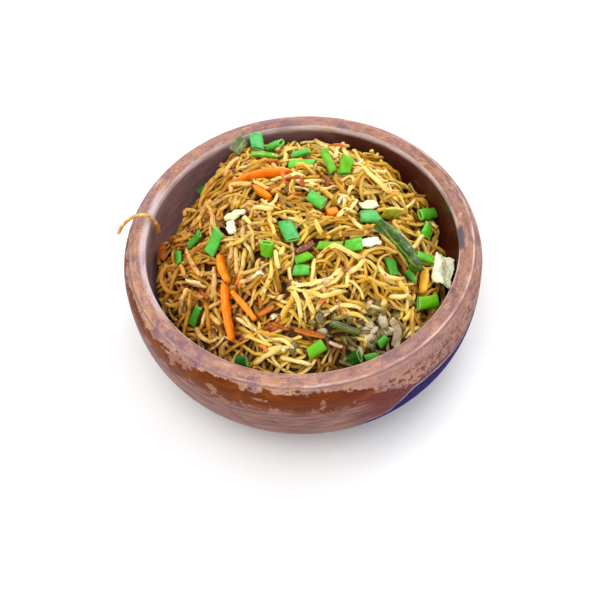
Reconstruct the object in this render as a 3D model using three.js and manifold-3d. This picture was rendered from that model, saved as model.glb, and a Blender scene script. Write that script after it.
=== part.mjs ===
// Chinese bhel: a heap of crisp fried noodles with cut spring onion, carrot, capsicum, cabbage
// and onion, served in a thick turned wooden bowl. Millimetres, +Z up, origin at the centre of
// the bowl's flat foot. -Y is the diner's side and +X is on the diner's right.

import * as THREE from 'three';
import { mergeVertices } from 'three/addons/utils/BufferGeometryUtils.js';
import Module from 'manifold-3d';

// The bowl
const bowlRadius = 80;
const bowlHeight = 58;
const footRadius = 40;
const bellyHeight = 48; // where the bowl is widest
const bellyRoundness = 2.6; // 2 is an ellipse, more is squarer
const rimRadius = 72.8; // the circle along the top of the rim
const openingRadius = 69.5;
const lipHeight = 56.6; // the inner edge of the rim
const lipEase = 1.2; // the edge is eased over this much of the top
const lipDrop = 0.35;
const floorHeight = 10; // thickness of the bottom
const wallRoundness = 2.8;
const bowlSegments = 56;
const coreSegments = 32; // the core's own dome is coarser

// The heap of noodles
const peakHeight = 73;
const edgeMean = 41; // height at which the heap meets the wall, on average
const edgeSwing = 5; // lower at the left and right, higher in front and behind
const edgeSkew = 2;
const moundRoundness = 2.3;
const noodleCover = 3.5; // depth of loose noodles over the core
const lumps = [
  { at: [-57, 30], rise: -9, spread: 14 },
  { at: [62, 4], rise: -7, spread: 14 },
  { at: [-23, 58], rise: 9, spread: 13 },
  { at: [52, 42], rise: -3, spread: 14 },
  { at: [-66, 12], rise: 7, spread: 12 },
  { at: [-42, -52], rise: -3, spread: 9 },
  { at: [-22, -64], rise: -3, spread: 8 },
];
const rippleHeight = 1.2;
const rippleLength = 7;

// One fried noodle
const noodleRadius = 1.2;
const noodleSides = 4;
const routePoints = 8;
const shortestNoodle = 17;
const longestNoodle = 34;
const noodleCount = 76;
const mostBend = 110; // degrees from straight to hooked, either way, halved
const sinkShare = 0.35; // share of its radius that a noodle sinks into what it lies on

const gap = 0.3; // kept between pieces that touch
const leafLift = 0.7; // leaf tubes lie among the noodles, this far above the core
const leafWall = 0.65; // thickness of a leaf
const stripTaper = 0.3; // share of its width that a cut strip loses towards its ends
const seed = 20;

const wasm = await Module();
wasm.setup();

// ---------------------------------------------------------------- small helpers

function seededRandom(start) {
  let state = start;
  return () => {
    state = (state + 0x6d2b79f5) | 0;
    let mixed = Math.imul(state ^ (state >>> 15), 1 | state);
    mixed = (mixed + Math.imul(mixed ^ (mixed >>> 7), 61 | mixed)) ^ mixed;
    return ((mixed ^ (mixed >>> 14)) >>> 0) / 4294967296;
  };
}

function range(count, make) {
  return Array.from({ length: count }, (unused, index) => make(index));
}

function solidFrom(geometry) {
  const sameCorner = 1e-4;
  const bare = geometry.clone();
  bare.deleteAttribute('normal');
  bare.deleteAttribute('uv');
  const merged = mergeVertices(bare, sameCorner);
  const corners = merged.index.array;
  const kept = [];
  for (let i = 0; i < corners.length; i += 3) {
    const [a, b, c] = [corners[i], corners[i + 1], corners[i + 2]];
    if (a !== b && b !== c && c !== a) kept.push(a, b, c);
  }
  return new wasm.Manifold(new wasm.Mesh({
    numProp: 3,
    vertProperties: new Float32Array(merged.attributes.position.array),
    triVerts: new Uint32Array(kept),
  }));
}

function geometryFrom(solid) {
  const mesh = solid.getMesh();
  const geometry = new THREE.BufferGeometry();
  const position = new THREE.BufferAttribute(new Float32Array(mesh.vertProperties), 3);
  geometry.setAttribute('position', position);
  geometry.setIndex(new THREE.BufferAttribute(new Uint32Array(mesh.triVerts), 1));
  geometry.computeVertexNormals();
  return geometry;
}

function finish(color, roughness) {
  return new THREE.MeshStandardMaterial({ color, roughness, metalness: 0 });
}

// ---------------------------------------------------------------- the wooden bowl

function innerProfile() {
  const steps = 6;
  return range(steps + 1, (i) => {
    const angle = (i / steps) * (Math.PI / 2);
    const radius = openingRadius * Math.sin(angle) ** (2 / wallRoundness);
    const rise = 1 - Math.cos(angle) ** (2 / wallRoundness);
    return new THREE.Vector2(radius, floorHeight + (lipHeight - floorHeight) * rise);
  });
}

function outerProfile() {
  const sideSteps = 5;
  const crownSteps = 3;
  const side = range(sideSteps + 1, (i) => {
    const angle = (i / sideSteps) * (Math.PI / 2);
    const spread = Math.sin(angle) ** (2 / bellyRoundness);
    const rise = 1 - Math.cos(angle) ** (2 / bellyRoundness);
    return new THREE.Vector2(footRadius + (bowlRadius - footRadius) * spread, bellyHeight * rise);
  });
  const crown = range(crownSteps, (i) => {
    const angle = ((i + 1) / crownSteps) * (Math.PI / 2);
    const radius = rimRadius + (bowlRadius - rimRadius) * Math.cos(angle);
    return new THREE.Vector2(radius, bellyHeight + (bowlHeight - bellyHeight) * Math.sin(angle));
  });
  return [...side, ...crown];
}

function bowlGeometry() {
  const lip = new THREE.Vector2(openingRadius + lipEase, bowlHeight - lipDrop);
  const profile = [new THREE.Vector2(0, 0), ...outerProfile(), lip, ...innerProfile().reverse()];
  return new THREE.LatheGeometry(profile, bowlSegments);
}

function wallRadius(z) {
  const rise = THREE.MathUtils.clamp((z - floorHeight) / (lipHeight - floorHeight), 0, 1);
  return openingRadius * (1 - (1 - rise) ** wallRoundness) ** (1 / wallRoundness);
}

// ---------------------------------------------------------------- the heap's form

function moundHeight(x, y) {
  const reach = Math.min(Math.hypot(x, y) / openingRadius, 1);
  const bearing = Math.atan2(y, x);
  const edge = edgeMean - edgeSwing * Math.cos(2 * bearing) + edgeSkew * Math.sin(2 * bearing);
  let height = edge + (peakHeight - edge) * (1 - reach ** moundRoundness);
  for (const { at, rise, spread } of lumps) {
    const distance = Math.hypot(x - at[0], y - at[1]);
    height += rise * Math.exp(-((distance / spread) ** 2));
  }
  return height + rippleHeight * Math.sin(x / rippleLength + 1) * Math.sin(y / (rippleLength + 1));
}

function coreHeight(x, y) {
  return moundHeight(x, y) - noodleCover;
}

function coreNormal(x, y) {
  const step = 2;
  const slopeX = (coreHeight(x + step, y) - coreHeight(x - step, y)) / (2 * step);
  const slopeY = (coreHeight(x, y + step) - coreHeight(x, y - step)) / (2 * step);
  return new THREE.Vector3(-slopeX, -slopeY, 1).normalize();
}

// The core fills the bowl up to a smooth dome, a gap clear of the wall.
function coreSolid() {
  const rings = 7;
  const outside = openingRadius + 3; // past the wall, which the cavity then cuts
  const top = range(rings + 1, (i) => new THREE.Vector2(outside * (1 - i / rings), bowlHeight));
  const profile = [new THREE.Vector2(0, 0), new THREE.Vector2(outside, 0), ...top];
  const block = new THREE.LatheGeometry(profile, coreSegments);
  const points = block.attributes.position;
  for (let i = 0; i < points.count; i += 1) {
    if (points.getY(i) === 0) continue;
    // A lathe turns about Y: here its Y is up and its Z is the bowl's -Y.
    points.setY(i, coreHeight(points.getX(i), -points.getZ(i)));
  }
  const inner = innerProfile().map((point) => {
    return new THREE.Vector2(Math.max(point.x - gap, 0), point.y + gap);
  });
  const above = 2 * bowlHeight;
  const cavity = new THREE.LatheGeometry(
    [...inner, new THREE.Vector2(openingRadius - gap, above), new THREE.Vector2(0, above)],
    bowlSegments,
  );
  return solidFrom(standUp(block)).intersect(solidFrom(standUp(cavity)));
}

function standUp(geometry) {
  return geometry.rotateX(Math.PI / 2);
}

// ---------------------------------------------------------------- pieces that lie on the heap

function placed(mesh, x, y, turn, tilt, lift) {
  const heading = THREE.MathUtils.degToRad(turn);
  const normal = coreNormal(x, y);
  const along = new THREE.Vector3(Math.cos(heading), Math.sin(heading), 0);
  along.addScaledVector(normal, -along.dot(normal)).normalize();
  const across = new THREE.Vector3().crossVectors(normal, along);
  along.applyAxisAngle(across, THREE.MathUtils.degToRad(-tilt));
  const top = new THREE.Vector3().crossVectors(along, across);
  mesh.quaternion.setFromRotationMatrix(new THREE.Matrix4().makeBasis(along, across, top));
  mesh.position.set(x, y, 0);
  mesh.updateMatrixWorld(true);
  let lowest = -Infinity;
  for (const point of surfacePoints(mesh)) {
    lowest = Math.max(lowest, coreHeight(point.x, point.y) + gap - point.z);
  }
  mesh.position.z = lowest + lift;
  mesh.updateMatrixWorld(true);
  return mesh;
}

// Points about a millimetre apart all over a mesh, in the bowl's frame.
function surfacePoints(mesh) {
  const spacing = 1;
  const geometry = mesh.geometry.index ? mesh.geometry.toNonIndexed() : mesh.geometry;
  const position = geometry.attributes.position;
  const points = [];
  for (let i = 0; i < position.count; i += 3) {
    const [a, b, c] = [0, 1, 2].map((k) => {
      return new THREE.Vector3().fromBufferAttribute(position, i + k).applyMatrix4(mesh.matrixWorld);
    });
    const longest = Math.max(a.distanceTo(b), b.distanceTo(c), c.distanceTo(a));
    const steps = Math.ceil(longest / spacing);
    for (let u = 0; u <= steps; u += 1) {
      for (let v = 0; v <= steps - u; v += 1) {
        const weights = [u / steps, v / steps, (steps - u - v) / steps];
        const point = new THREE.Vector3().addScaledVector(a, weights[0]);
        points.push(point.addScaledVector(b, weights[1]).addScaledVector(c, weights[2]));
      }
    }
  }
  return points;
}

// A piece of spring onion leaf: a short tube squashed to an oval, along X.
function leafTube(length, width, height) {
  const sides = 6;
  const outline = (halfHeight, halfWidth) => range(sides, (i) => {
    const angle = ((i + 0.5) / sides) * 2 * Math.PI;
    return new THREE.Vector2(Math.cos(angle) * halfHeight, Math.sin(angle) * halfWidth);
  });
  const oval = new THREE.Shape(outline(height / 2, width / 2));
  oval.holes.push(new THREE.Path(outline(height / 2 - leafWall, width / 2 - leafWall)));
  const geometry = new THREE.ExtrudeGeometry(oval, { depth: length, steps: 1, bevelEnabled: false });
  return geometry.translate(0, 0, -length / 2).rotateY(Math.PI / 2);
}

// A strip along X, its section given as points (up, across), bent sideways and arched downwards.
// taper is the share of its width that it loses towards its ends.
function bentStrip(section, length, bend, arch, taper, steps) {
  const sweep = THREE.MathUtils.degToRad(bend);
  const droop = THREE.MathUtils.degToRad(arch);
  const path = new THREE.CatmullRomCurve3(range(steps + 1, (i) => {
    const along = i / steps - 0.5;
    const side = (length * sweep * along * along) / 2;
    const down = (-length * droop * along * along) / 2;
    return new THREE.Vector3(length * along, side, down);
  }));
  const shape = new THREE.Shape(section);
  const strip = new THREE.ExtrudeGeometry(shape, { steps, bevelEnabled: false, extrudePath: path });
  const points = strip.attributes.position;
  for (let i = 0; i < points.count; i += 1) {
    const along = THREE.MathUtils.clamp(points.getX(i) / length, -0.5, 0.5);
    const middle = (length * sweep * along * along) / 2;
    const share = 1 - taper * (2 * along) ** 2;
    points.setY(i, middle + (points.getY(i) - middle) * share);
  }
  return strip;
}

function boxSection(width, height) {
  const [across, upwards] = [width / 2, height / 2];
  const points = [[upwards, -across], [upwards, across], [-upwards, across], [-upwards, -across]];
  return points.map(([x, y]) => new THREE.Vector2(x, y));
}

// The section of a strip cut from a curved wall: a thin band, crowned across its width.
function shellSection(width, thickness, crown) {
  const outer = [-0.5, 0, 0.5].map((share) => {
    return new THREE.Vector2(thickness / 2 + crown * (0.25 - share * share) * 4, share * width);
  });
  const inner = [0.5, 0, -0.5].map((share) => {
    return new THREE.Vector2(-thickness / 2 + crown * (0.25 - share * share) * 4, share * width);
  });
  return [...outer, ...inner];
}

// A crumpled leaf: a thin sheet in waves, both faces alike.
function crumpledLeaf(length, width, thickness, wave) {
  const cells = 4;
  const sheet = new THREE.BoxGeometry(length, width, thickness, cells, cells, 1);
  const points = sheet.attributes.position;
  for (let i = 0; i < points.count; i += 1) {
    const u = points.getX(i) / length;
    const v = points.getY(i) / width;
    const lift = wave * (Math.sin(7 * u + 2 * v) + 0.7 * Math.sin(8 * v - 3 * u));
    points.setZ(i, points.getZ(i) + lift);
    points.setY(i, points.getY(i) * (1 - 0.5 * Math.abs(u)));
  }
  return sheet;
}

// ---------------------------------------------------------------- the cut vegetables
// at: place on the heap; turn: heading of the long axis; tilt: far end raised; both in degrees.

const scallions = [
  { at: [-17, 60], turn: 95, tilt: 42, size: [10, 6.5, 3], shade: 0x63c98a },
  { at: [-9, 55.5], turn: -20, tilt: 30, size: [8, 8, 4.2], shade: 0x5fd08c },
  { at: [-44, 47.3], turn: -10, tilt: 0, lift: 1.2, size: [6, 4, 2.4], shade: 0x4c8f3c },
  { at: [-47, 5], turn: 13, tilt: 10, size: [8, 5, 2.8], shade: 0x3f8f45 },
  { at: [-38, -2], turn: 40, tilt: 12, size: [11, 7.2, 3], shade: 0x42b45a },
  { at: [-55, 0], turn: -87, tilt: 5, size: [8, 4, 2.6], shade: 0x4a9a50 },
  { at: [-15, -15.5], turn: 70, tilt: 58, size: [6.5, 6, 4.6], shade: 0x86cf12 },
  { at: [-5, -6], turn: -75, tilt: 8, size: [11, 7, 3.2], shade: 0x5fd68e },
  { at: [3, 38.5], turn: -8, tilt: 5, size: [12, 6.5, 3.8], shade: 0x4ccf4e },
  { at: [3, 49], turn: 1, tilt: 15, size: [8.5, 5, 3], shade: 0x57c596 },
  { at: [15, 37], turn: 110, tilt: 32, size: [12.5, 4.4, 2.6], shade: 0x46b81c },
  { at: [22.6, 34], turn: 75, tilt: 28, size: [9.5, 6, 3.4], shade: 0x63c312 },
  { at: [8, 10], turn: -46, tilt: 8, size: [9, 7, 3.6], shade: 0x4fcb57 },
  { at: [30.5, 3.5], turn: 8, tilt: 8, size: [8.5, 7.4, 3.2], shade: 0x5fcf8f },
  { at: [58.3, 20], turn: 22, tilt: 5, size: [12.5, 5.6, 3.2], shade: 0x47a83f },
  { at: [56.5, 8.5], turn: 70, tilt: 20, size: [7, 5.8, 3], shade: 0x52b647 },
  { at: [53.6, -8], turn: 3, tilt: 12, size: [8.5, 5, 2.8], shade: 0x55c94e },
  { at: [12, -13.5], turn: -7, tilt: 0, size: [10.5, 4.4, 2.4], shade: 0x6ac92a },
  { at: [22, -14], turn: 9, tilt: 8, size: [8, 6, 3], shade: 0x56cc45 },
  { at: [0, -19], turn: 24, tilt: 0, size: [7.5, 4.4, 2.6], shade: 0x4aa32c },
  { at: [-1, -25.5], turn: -10, tilt: 8, size: [7, 5.4, 2.8], shade: 0x4fc85c },
  { at: [38, -21], turn: -79, tilt: 10, size: [8, 5.6, 3], shade: 0x3fae4c },
  { at: [46.3, -20.6], turn: -40, tilt: 4, size: [5.6, 4.4, 2.4], lift: 0.4, shade: 0x38a31f },
  { at: [52.5, -31.5], turn: 8, tilt: 15, size: [10.5, 6.2, 3.2], shade: 0x4fbf2c },
  { at: [2.5, -56.5], turn: 35, tilt: 10, size: [8, 5.5, 3], shade: 0x4fb41a },
  { at: [19, -60], turn: 40, tilt: 45, size: [4.5, 6, 4.4], shade: 0x16662a },
  { at: [25.5, -58.5], turn: 10, tilt: 8, size: [5.5, 4, 2.4], shade: 0x3f8a25 },
  { at: [31, -51.5], turn: 48, tilt: 5, size: [5, 4, 2.4], shade: 0x57b63a },
  { at: [-48, -32.5], turn: 35, tilt: 8, size: [9, 4.6, 2.6], shade: 0x4fae3a },
  { at: [-29, -56], turn: -10, tilt: 10, size: [6, 4.5, 2.8], shade: 0x1f6b2b },
];

const carrots = [
  { at: [-17, 33], turn: -4, tilt: 0, size: [30, 4.6, 2.6], bend: -25, arch: 45, shade: 0xf07a1c },
  { at: [-15.5, 19.5], turn: -50, tilt: 0, size: [12, 4.6, 2.8], bend: 10, arch: 20, shade: 0xef7410 },
  { at: [-11, 42], turn: -17, tilt: 5, size: [7, 3.4, 2.6], bend: 0, arch: 10, shade: 0xd9551c },
  { at: [-58.1, 16], turn: -52, tilt: 4, size: [9, 3, 2.4], bend: 0, arch: 10, shade: 0xb8522a },
  { at: [-63, 10.5], turn: -72, tilt: 0, size: [13, 4, 2.6], bend: 12, arch: 10, shade: 0xa65a20 },
  { at: [-35, -17], turn: -78, tilt: 0, size: [15, 4.4, 3], bend: 20, arch: 25, shade: 0xf58a1a },
  { at: [-34.2, -37], turn: -94, tilt: 0, size: [25, 4.8, 3.2], bend: 8, arch: 30, shade: 0xf97c0c },
  { at: [-26.6, -35.6], turn: -60, tilt: 0, size: [16.5, 3.4, 2.8], bend: -8, arch: 25, shade: 0xf58416 },
  { at: [-17.2, -39.4], turn: 22, tilt: 0, size: [8, 2.6, 2.2], bend: 10, arch: 20, shade: 0xd8672a },
  { at: [14.3, 4], turn: 20, tilt: 5, size: [5, 4.4, 3.2], bend: 0, arch: 0, shade: 0xee7a1a },
  { at: [0.3, -50.9], turn: -22, tilt: 0, size: [13.5, 3.4, 2.6], bend: 5, arch: 20, shade: 0xc8602c },
  { at: [52, -21.5], turn: -100, tilt: 0, size: [12, 4.6, 2.6], bend: 6, arch: 10, shade: 0xf0a24a },
];

const capsicums = [
  {
    at: [43.2, -12.8], turn: -31, tilt: 0, size: [28, 6.6, 1.6], lift: 3.8,
    crown: 1, bend: -20, arch: 40, taper: 0.6, shade: 0x2f5a17,
  },
  {
    at: [40.5, 7], turn: 12, tilt: 5, size: [9.5, 7.4, 1.8],
    crown: 1.2, bend: 0, arch: 20, shade: 0x98a01c,
  },
  {
    at: [-13.5, 49], turn: 178, tilt: 5, size: [12, 4, 1.6],
    crown: 0.6, bend: 20, arch: 20, shade: 0x5fa014,
  },
  {
    at: [15, -50], turn: -25, tilt: 4, size: [12, 7, 1.8],
    crown: 1.4, bend: 0, arch: 30, shade: 0x5c6636,
  },
  {
    at: [-25.5, 58.5], turn: 40, tilt: 20, size: [8.5, 6, 1.8],
    crown: 0.6, bend: 0, arch: 20, shade: 0x4a5238,
  },
];

const cabbages = [
  { at: [61.4, -12.6], turn: 76, tilt: 6, size: [17, 11, 1.2], wave: 1.3, lift: 2.4, shade: 0xeef0b8 },
  { at: [31, 12], turn: 16, tilt: 5, size: [8.5, 5, 1.2], wave: 0.5, shade: 0xf2eec4 },
  { at: [29.6, -10.8], turn: 12, tilt: 12, size: [8.5, 4, 1.2], wave: 0.4, shade: 0xf3f4dc },
  { at: [-28.3, 11], turn: -10, tilt: 8, size: [9, 5, 1.2], wave: 0.6, shade: 0xf4efc8 },
  { at: [-30.2, 4], turn: -80, tilt: 10, size: [8.5, 4, 1.2], wave: 0.4, shade: 0xf4f2d4 },
];

const onions = [
  {
    at: [37.8, -47], turn: 110, tilt: 8, size: [12, 4.4, 1.4],
    crown: 0.5, bend: 100, arch: 0, shade: 0xb99a78,
  },
  {
    at: [10.8, -54.9], turn: -30, tilt: 5, size: [6, 3.6, 1.4],
    crown: 0.6, bend: 10, arch: 15, shade: 0xd98f92,
  },
  {
    at: [1.5, -13.5], turn: 30, tilt: 2, size: [9, 3, 1.4],
    crown: 0.4, bend: 15, arch: 15, shade: 0x8c4a3c,
  },
  {
    at: [-47, -19], turn: -29, tilt: 8, size: [9.5, 6, 1.4],
    crown: 0.9, bend: 10, arch: 15, shade: 0xe0c9a6,
  },
];

function named(kind, index, geometry, piece, roughness, lift = 0) {
  const mesh = new THREE.Mesh(geometry, finish(piece.shade, roughness));
  mesh.name = `${kind}_${String(index + 1).padStart(2, '0')}`;
  return placed(mesh, piece.at[0], piece.at[1], piece.turn, piece.tilt, piece.lift ?? lift);
}

function strip(section, piece) {
  const steps = 4;
  return bentStrip(section, piece.size[0], piece.bend, piece.arch, piece.taper ?? stripTaper, steps);
}

function vegetableMeshes() {
  const shell = (piece) => shellSection(piece.size[1], piece.size[2], piece.crown);
  const box = (piece) => boxSection(piece.size[1], piece.size[2]);
  return [
    ...scallions.map((piece, i) => named('scallion', i, leafTube(...piece.size), piece, 0.45, leafLift)),
    ...carrots.map((piece, i) => named('carrot', i, strip(box(piece), piece), piece, 0.5)),
    ...capsicums.map((piece, i) => named('capsicum', i, strip(shell(piece), piece), piece, 0.3)),
    ...cabbages.map((piece, i) => named('cabbage', i, crumpledLeaf(...piece.size, piece.wave), piece, 0.5)),
    ...onions.map((piece, i) => named('onion', i, strip(shell(piece), piece), piece, 0.4)),
  ];
}

// ---------------------------------------------------------------- noodles

function noodleSection() {
  return new THREE.Shape(range(noodleSides, (i) => {
    const angle = (i / noodleSides) * 2 * Math.PI;
    return new THREE.Vector2(Math.cos(angle) * noodleRadius, Math.sin(angle) * noodleRadius);
  }));
}

function noodleGeometry(path, steps) {
  const curve = new THREE.CatmullRomCurve3(path);
  return new THREE.ExtrudeGeometry(noodleSection(), { steps, bevelEnabled: false, extrudePath: curve });
}

// One noodle hangs over the left of the rim.
function rimNoodle() {
  const path = [
    [-64.2, 19.6, 46.6], [-64.6, 19.2, 54], [-67.6, 18.8, 60.5],
    [-73.2, 17.8, 61.9], [-78.6, 16.2, 58.8], [-81.8, 15, 54],
  ];
  const steps = 10;
  const geometry = noodleGeometry(path.map((point) => new THREE.Vector3(...point)), steps);
  const mesh = new THREE.Mesh(geometry, finish(0xe8b84e, 0.5));
  mesh.name = 'rim_noodle';
  mesh.updateMatrixWorld(true);
  return mesh;
}

// Noodles that stand out in the heap: bend is the whole turn along the noodle, in degrees.
const leadNoodles = [
  { at: [4, -33], turn: 8, length: 30, bend: 55 },
  { at: [9, -40], turn: 4, length: 17, bend: 30 },
  { at: [19, -44], turn: -8, length: 30, bend: -30 },
  { at: [-12, -21], turn: -97, length: 27, bend: -12 },
  { at: [-9, -46], turn: -80, length: 24, bend: 30 },
  { at: [-50, -42], turn: -52, length: 14, bend: 10 },
  { at: [-43, -50], turn: 40, length: 14, bend: 25 },
  { at: [58, 2], turn: 20, length: 17, bend: 8 },
  { at: [-27, -8], turn: 30, length: 15, bend: 5 },
  { at: [-12, -59], turn: 20, length: 26, bend: -10 },
  { at: [-14, -60], turn: -25, length: 24, bend: 6 },
  { at: [-57, 26], turn: 50, length: 20, bend: 25 },
  { at: [-40, 32], turn: 20, length: 26, bend: 12 },
  { at: [-20, 10], turn: -60, length: 20, bend: 15 },
  { at: [22, 26], turn: -48, length: 26, bend: 8 },
  { at: [38, 24], turn: -55, length: 28, bend: 12 },
];

const cell = 1; // spacing of the height map
const mapReach = 76;
const mapSize = (2 * mapReach) / cell + 1;

function emptyMap() {
  return Float32Array.from({ length: mapSize * mapSize }, (unused, index) => {
    const x = (index % mapSize) * cell - mapReach;
    const y = Math.floor(index / mapSize) * cell - mapReach;
    return coreHeight(x, y);
  });
}

function mapIndex(x, y) {
  return Math.round((y + mapReach) / cell) * mapSize + Math.round((x + mapReach) / cell);
}

// The noodle's route over what is already there: stiff, so it bridges hollows.
function routeOver(map, plan) {
  const rest = plan.map(([x, y]) => map[mapIndex(x, y)] + noodleRadius * (1 - sinkShare));
  const heights = [...rest];
  const smoothing = 30;
  const sag = 0.12;
  for (let pass = 0; pass < smoothing; pass += 1) {
    for (let i = 1; i < heights.length - 1; i += 1) {
      heights[i] = Math.max(rest[i], (heights[i - 1] + heights[i + 1]) / 2 - sag);
    }
  }
  return plan.map(([x, y], i) => new THREE.Vector3(x, y, heights[i]));
}

// A noodle seen from above: an arc about its middle.
function arcPlan(x, y, turn, length, bend) {
  const pieces = routePoints - 1;
  const heading = THREE.MathUtils.degToRad(turn);
  const sweep = THREE.MathUtils.degToRad(bend);
  const step = length / pieces;
  const plan = [[0, 0]];
  for (let i = 0; i < pieces; i += 1) {
    const angle = heading + sweep * ((i + 0.5) / pieces - 0.5);
    const [lastX, lastY] = plan[plan.length - 1];
    plan.push([lastX + step * Math.cos(angle), lastY + step * Math.sin(angle)]);
  }
  const middle = [0, 1].map((axis) => {
    return plan.reduce((sum, point) => sum + point[axis], 0) / routePoints;
  });
  return plan.map((point) => [point[0] - middle[0] + x, point[1] - middle[1] + y]);
}

const spacingSlack = 0.1; // for the spacing of the surface points

// A box grid of the vegetables' surface points, for quick looking up of what is near.
function neighbourhood(meshes) {
  const size = 3;
  const boxes = new Map();
  const key = (point) => [point.x, point.y, point.z].map((value) => Math.floor(value / size));
  for (const mesh of meshes) {
    for (const point of surfacePoints(mesh)) {
      const name = key(point).join();
      if (!boxes.has(name)) boxes.set(name, []);
      boxes.get(name).push(point);
    }
  }
  return (point, distance) => {
    const [i, j, k] = key(point);
    for (let di = -1; di <= 1; di += 1) {
      for (let dj = -1; dj <= 1; dj += 1) {
        for (let dk = -1; dk <= 1; dk += 1) {
          const near = boxes.get([i + di, j + dj, k + dk].join()) ?? [];
          if (near.some((other) => other.distanceTo(point) < distance)) return true;
        }
      }
    }
    return false;
  };
}

function clearRoute(route, touches) {
  const curve = new THREE.CatmullRomCurve3(route);
  const clearance = noodleRadius + 2 * gap + spacingSlack;
  const samples = 40;
  return curve.getPoints(samples).every((point) => {
    const fromAxis = Math.hypot(point.x, point.y);
    const wall = Math.min(wallRadius(point.z - noodleRadius), openingRadius);
    return fromAxis < wall - noodleRadius - 2 * gap && !touches(point, clearance);
  });
}

// The height map takes in a laid noodle, as high as its rounded top.
function raiseMap(map, route) {
  const samples = 60;
  const roundness = 0.3;
  const curve = new THREE.CatmullRomCurve3(route);
  for (const point of curve.getPoints(samples)) {
    for (const dx of [-1, 0, 1]) {
      for (const dy of [-1, 0, 1]) {
        const index = mapIndex(point.x + dx * cell, point.y + dy * cell);
        const crown = Math.sqrt(noodleRadius ** 2 - (dx * dx + dy * dy) * roundness);
        map[index] = Math.max(map[index], point.z + crown);
      }
    }
  }
}

// How much a route runs beside noodles that are already there.
function crowding(route, laidPoints) {
  const reach = 7;
  let sum = 0;
  for (const point of route) {
    for (const other of laidPoints) {
      const distance = Math.hypot(point.x - other.x, point.y - other.y);
      sum += Math.max(0, 1 - distance / reach);
    }
  }
  return sum / route.length;
}

function heapGeometry(others) {
  const random = seededRandom(seed);
  const touches = neighbourhood(others);
  const map = emptyMap();
  const noodles = [];
  const laidPoints = [];
  const degreesPerStep = 25;
  const lay = (route, bend) => {
    raiseMap(map, route);
    laidPoints.push(...route);
    const steps = Math.min(3 + Math.round(Math.abs(bend) / degreesPerStep), routePoints - 1);
    noodles.push(solidFrom(noodleGeometry(route, steps)));
  };
  const shorter = [1, 0.75, 0.5]; // what is tried where a noodle would cross something
  for (const { at, turn, length, bend } of leadNoodles) {
    const routes = shorter.map((share) => {
      return routeOver(map, arcPlan(at[0], at[1], turn, length * share, bend * share));
    });
    const fitting = routes.find((route) => clearRoute(route, touches));
    if (fitting) lay(fitting, bend);
  }
  // The rest go where there are fewest, longest first.
  const choices = 90;
  const farthest = 65;
  while (noodles.length < noodleCount) {
    const share = 1 - noodles.length / noodleCount;
    const length = shortestNoodle + (longestNoodle - shortestNoodle) * share;
    let best = null;
    for (let k = 0; k < choices; k += 1) {
      const reach = farthest * Math.sqrt(random());
      const bearing = random() * 2 * Math.PI;
      const bend = (random() - 0.5) * mostBend;
      const [x, y] = [reach * Math.cos(bearing), reach * Math.sin(bearing)];
      const route = routeOver(map, arcPlan(x, y, random() * 360, length, bend));
      if (!clearRoute(route, touches)) continue;
      const crowd = crowding(route, laidPoints);
      if (best === null || crowd < best.crowd) best = { route, bend, crowd };
    }
    if (best === null) break;
    lay(best.route, best.bend);
  }
  const heap = wasm.Manifold.union([coreSolid(), ...noodles]);
  // Fusing can leave a loose scrap or seal a hollow: the outer body alone is kept.
  const bodies = heap.decompose().sort((one, other) => other.volume() - one.volume());
  return geometryFrom(bodies[0]);
}

// ---------------------------------------------------------------- the whole dish

const bowl = new THREE.Mesh(standUp(bowlGeometry()), finish(0xa87868, 0.5));
bowl.name = 'bowl';

const onTop = [...vegetableMeshes(), rimNoodle()];
const heap = new THREE.Mesh(heapGeometry(onTop), finish(0xe2b45c, 0.55));
heap.name = 'noodle_heap';

const dish = new THREE.Group();
dish.add(bowl, heap, ...onTop);

export default dish;
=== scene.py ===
"""Chinese bhel: crisp fried noodles heaped in a turned wooden bowl, with cut spring onion,
carrot, capsicum, cabbage and onion. Shapes are worked out in millimetres and stored in metres."""

import math

import bmesh
import bpy
import numpy as np
from mathutils import Matrix, Vector, noise


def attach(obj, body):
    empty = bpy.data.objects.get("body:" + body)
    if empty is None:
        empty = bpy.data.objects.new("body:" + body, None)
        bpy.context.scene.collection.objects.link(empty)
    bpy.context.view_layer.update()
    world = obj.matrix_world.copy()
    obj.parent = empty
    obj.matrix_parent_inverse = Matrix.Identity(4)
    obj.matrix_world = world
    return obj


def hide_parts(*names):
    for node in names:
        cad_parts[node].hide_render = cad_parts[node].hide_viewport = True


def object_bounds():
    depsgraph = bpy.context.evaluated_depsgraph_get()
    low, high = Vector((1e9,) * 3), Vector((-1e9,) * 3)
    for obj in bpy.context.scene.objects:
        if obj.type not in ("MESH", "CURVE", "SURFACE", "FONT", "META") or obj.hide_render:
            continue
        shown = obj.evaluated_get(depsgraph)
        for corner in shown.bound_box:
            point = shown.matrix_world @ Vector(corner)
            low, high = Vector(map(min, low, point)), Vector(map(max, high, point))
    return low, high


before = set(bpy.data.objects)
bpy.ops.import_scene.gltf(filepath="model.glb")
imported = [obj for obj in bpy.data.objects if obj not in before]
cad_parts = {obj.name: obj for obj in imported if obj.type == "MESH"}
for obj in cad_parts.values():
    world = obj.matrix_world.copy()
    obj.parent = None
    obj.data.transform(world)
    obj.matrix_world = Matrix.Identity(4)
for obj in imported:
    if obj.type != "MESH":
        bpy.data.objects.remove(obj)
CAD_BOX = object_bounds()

MM = 0.001
TURN = 2 * math.pi

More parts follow.
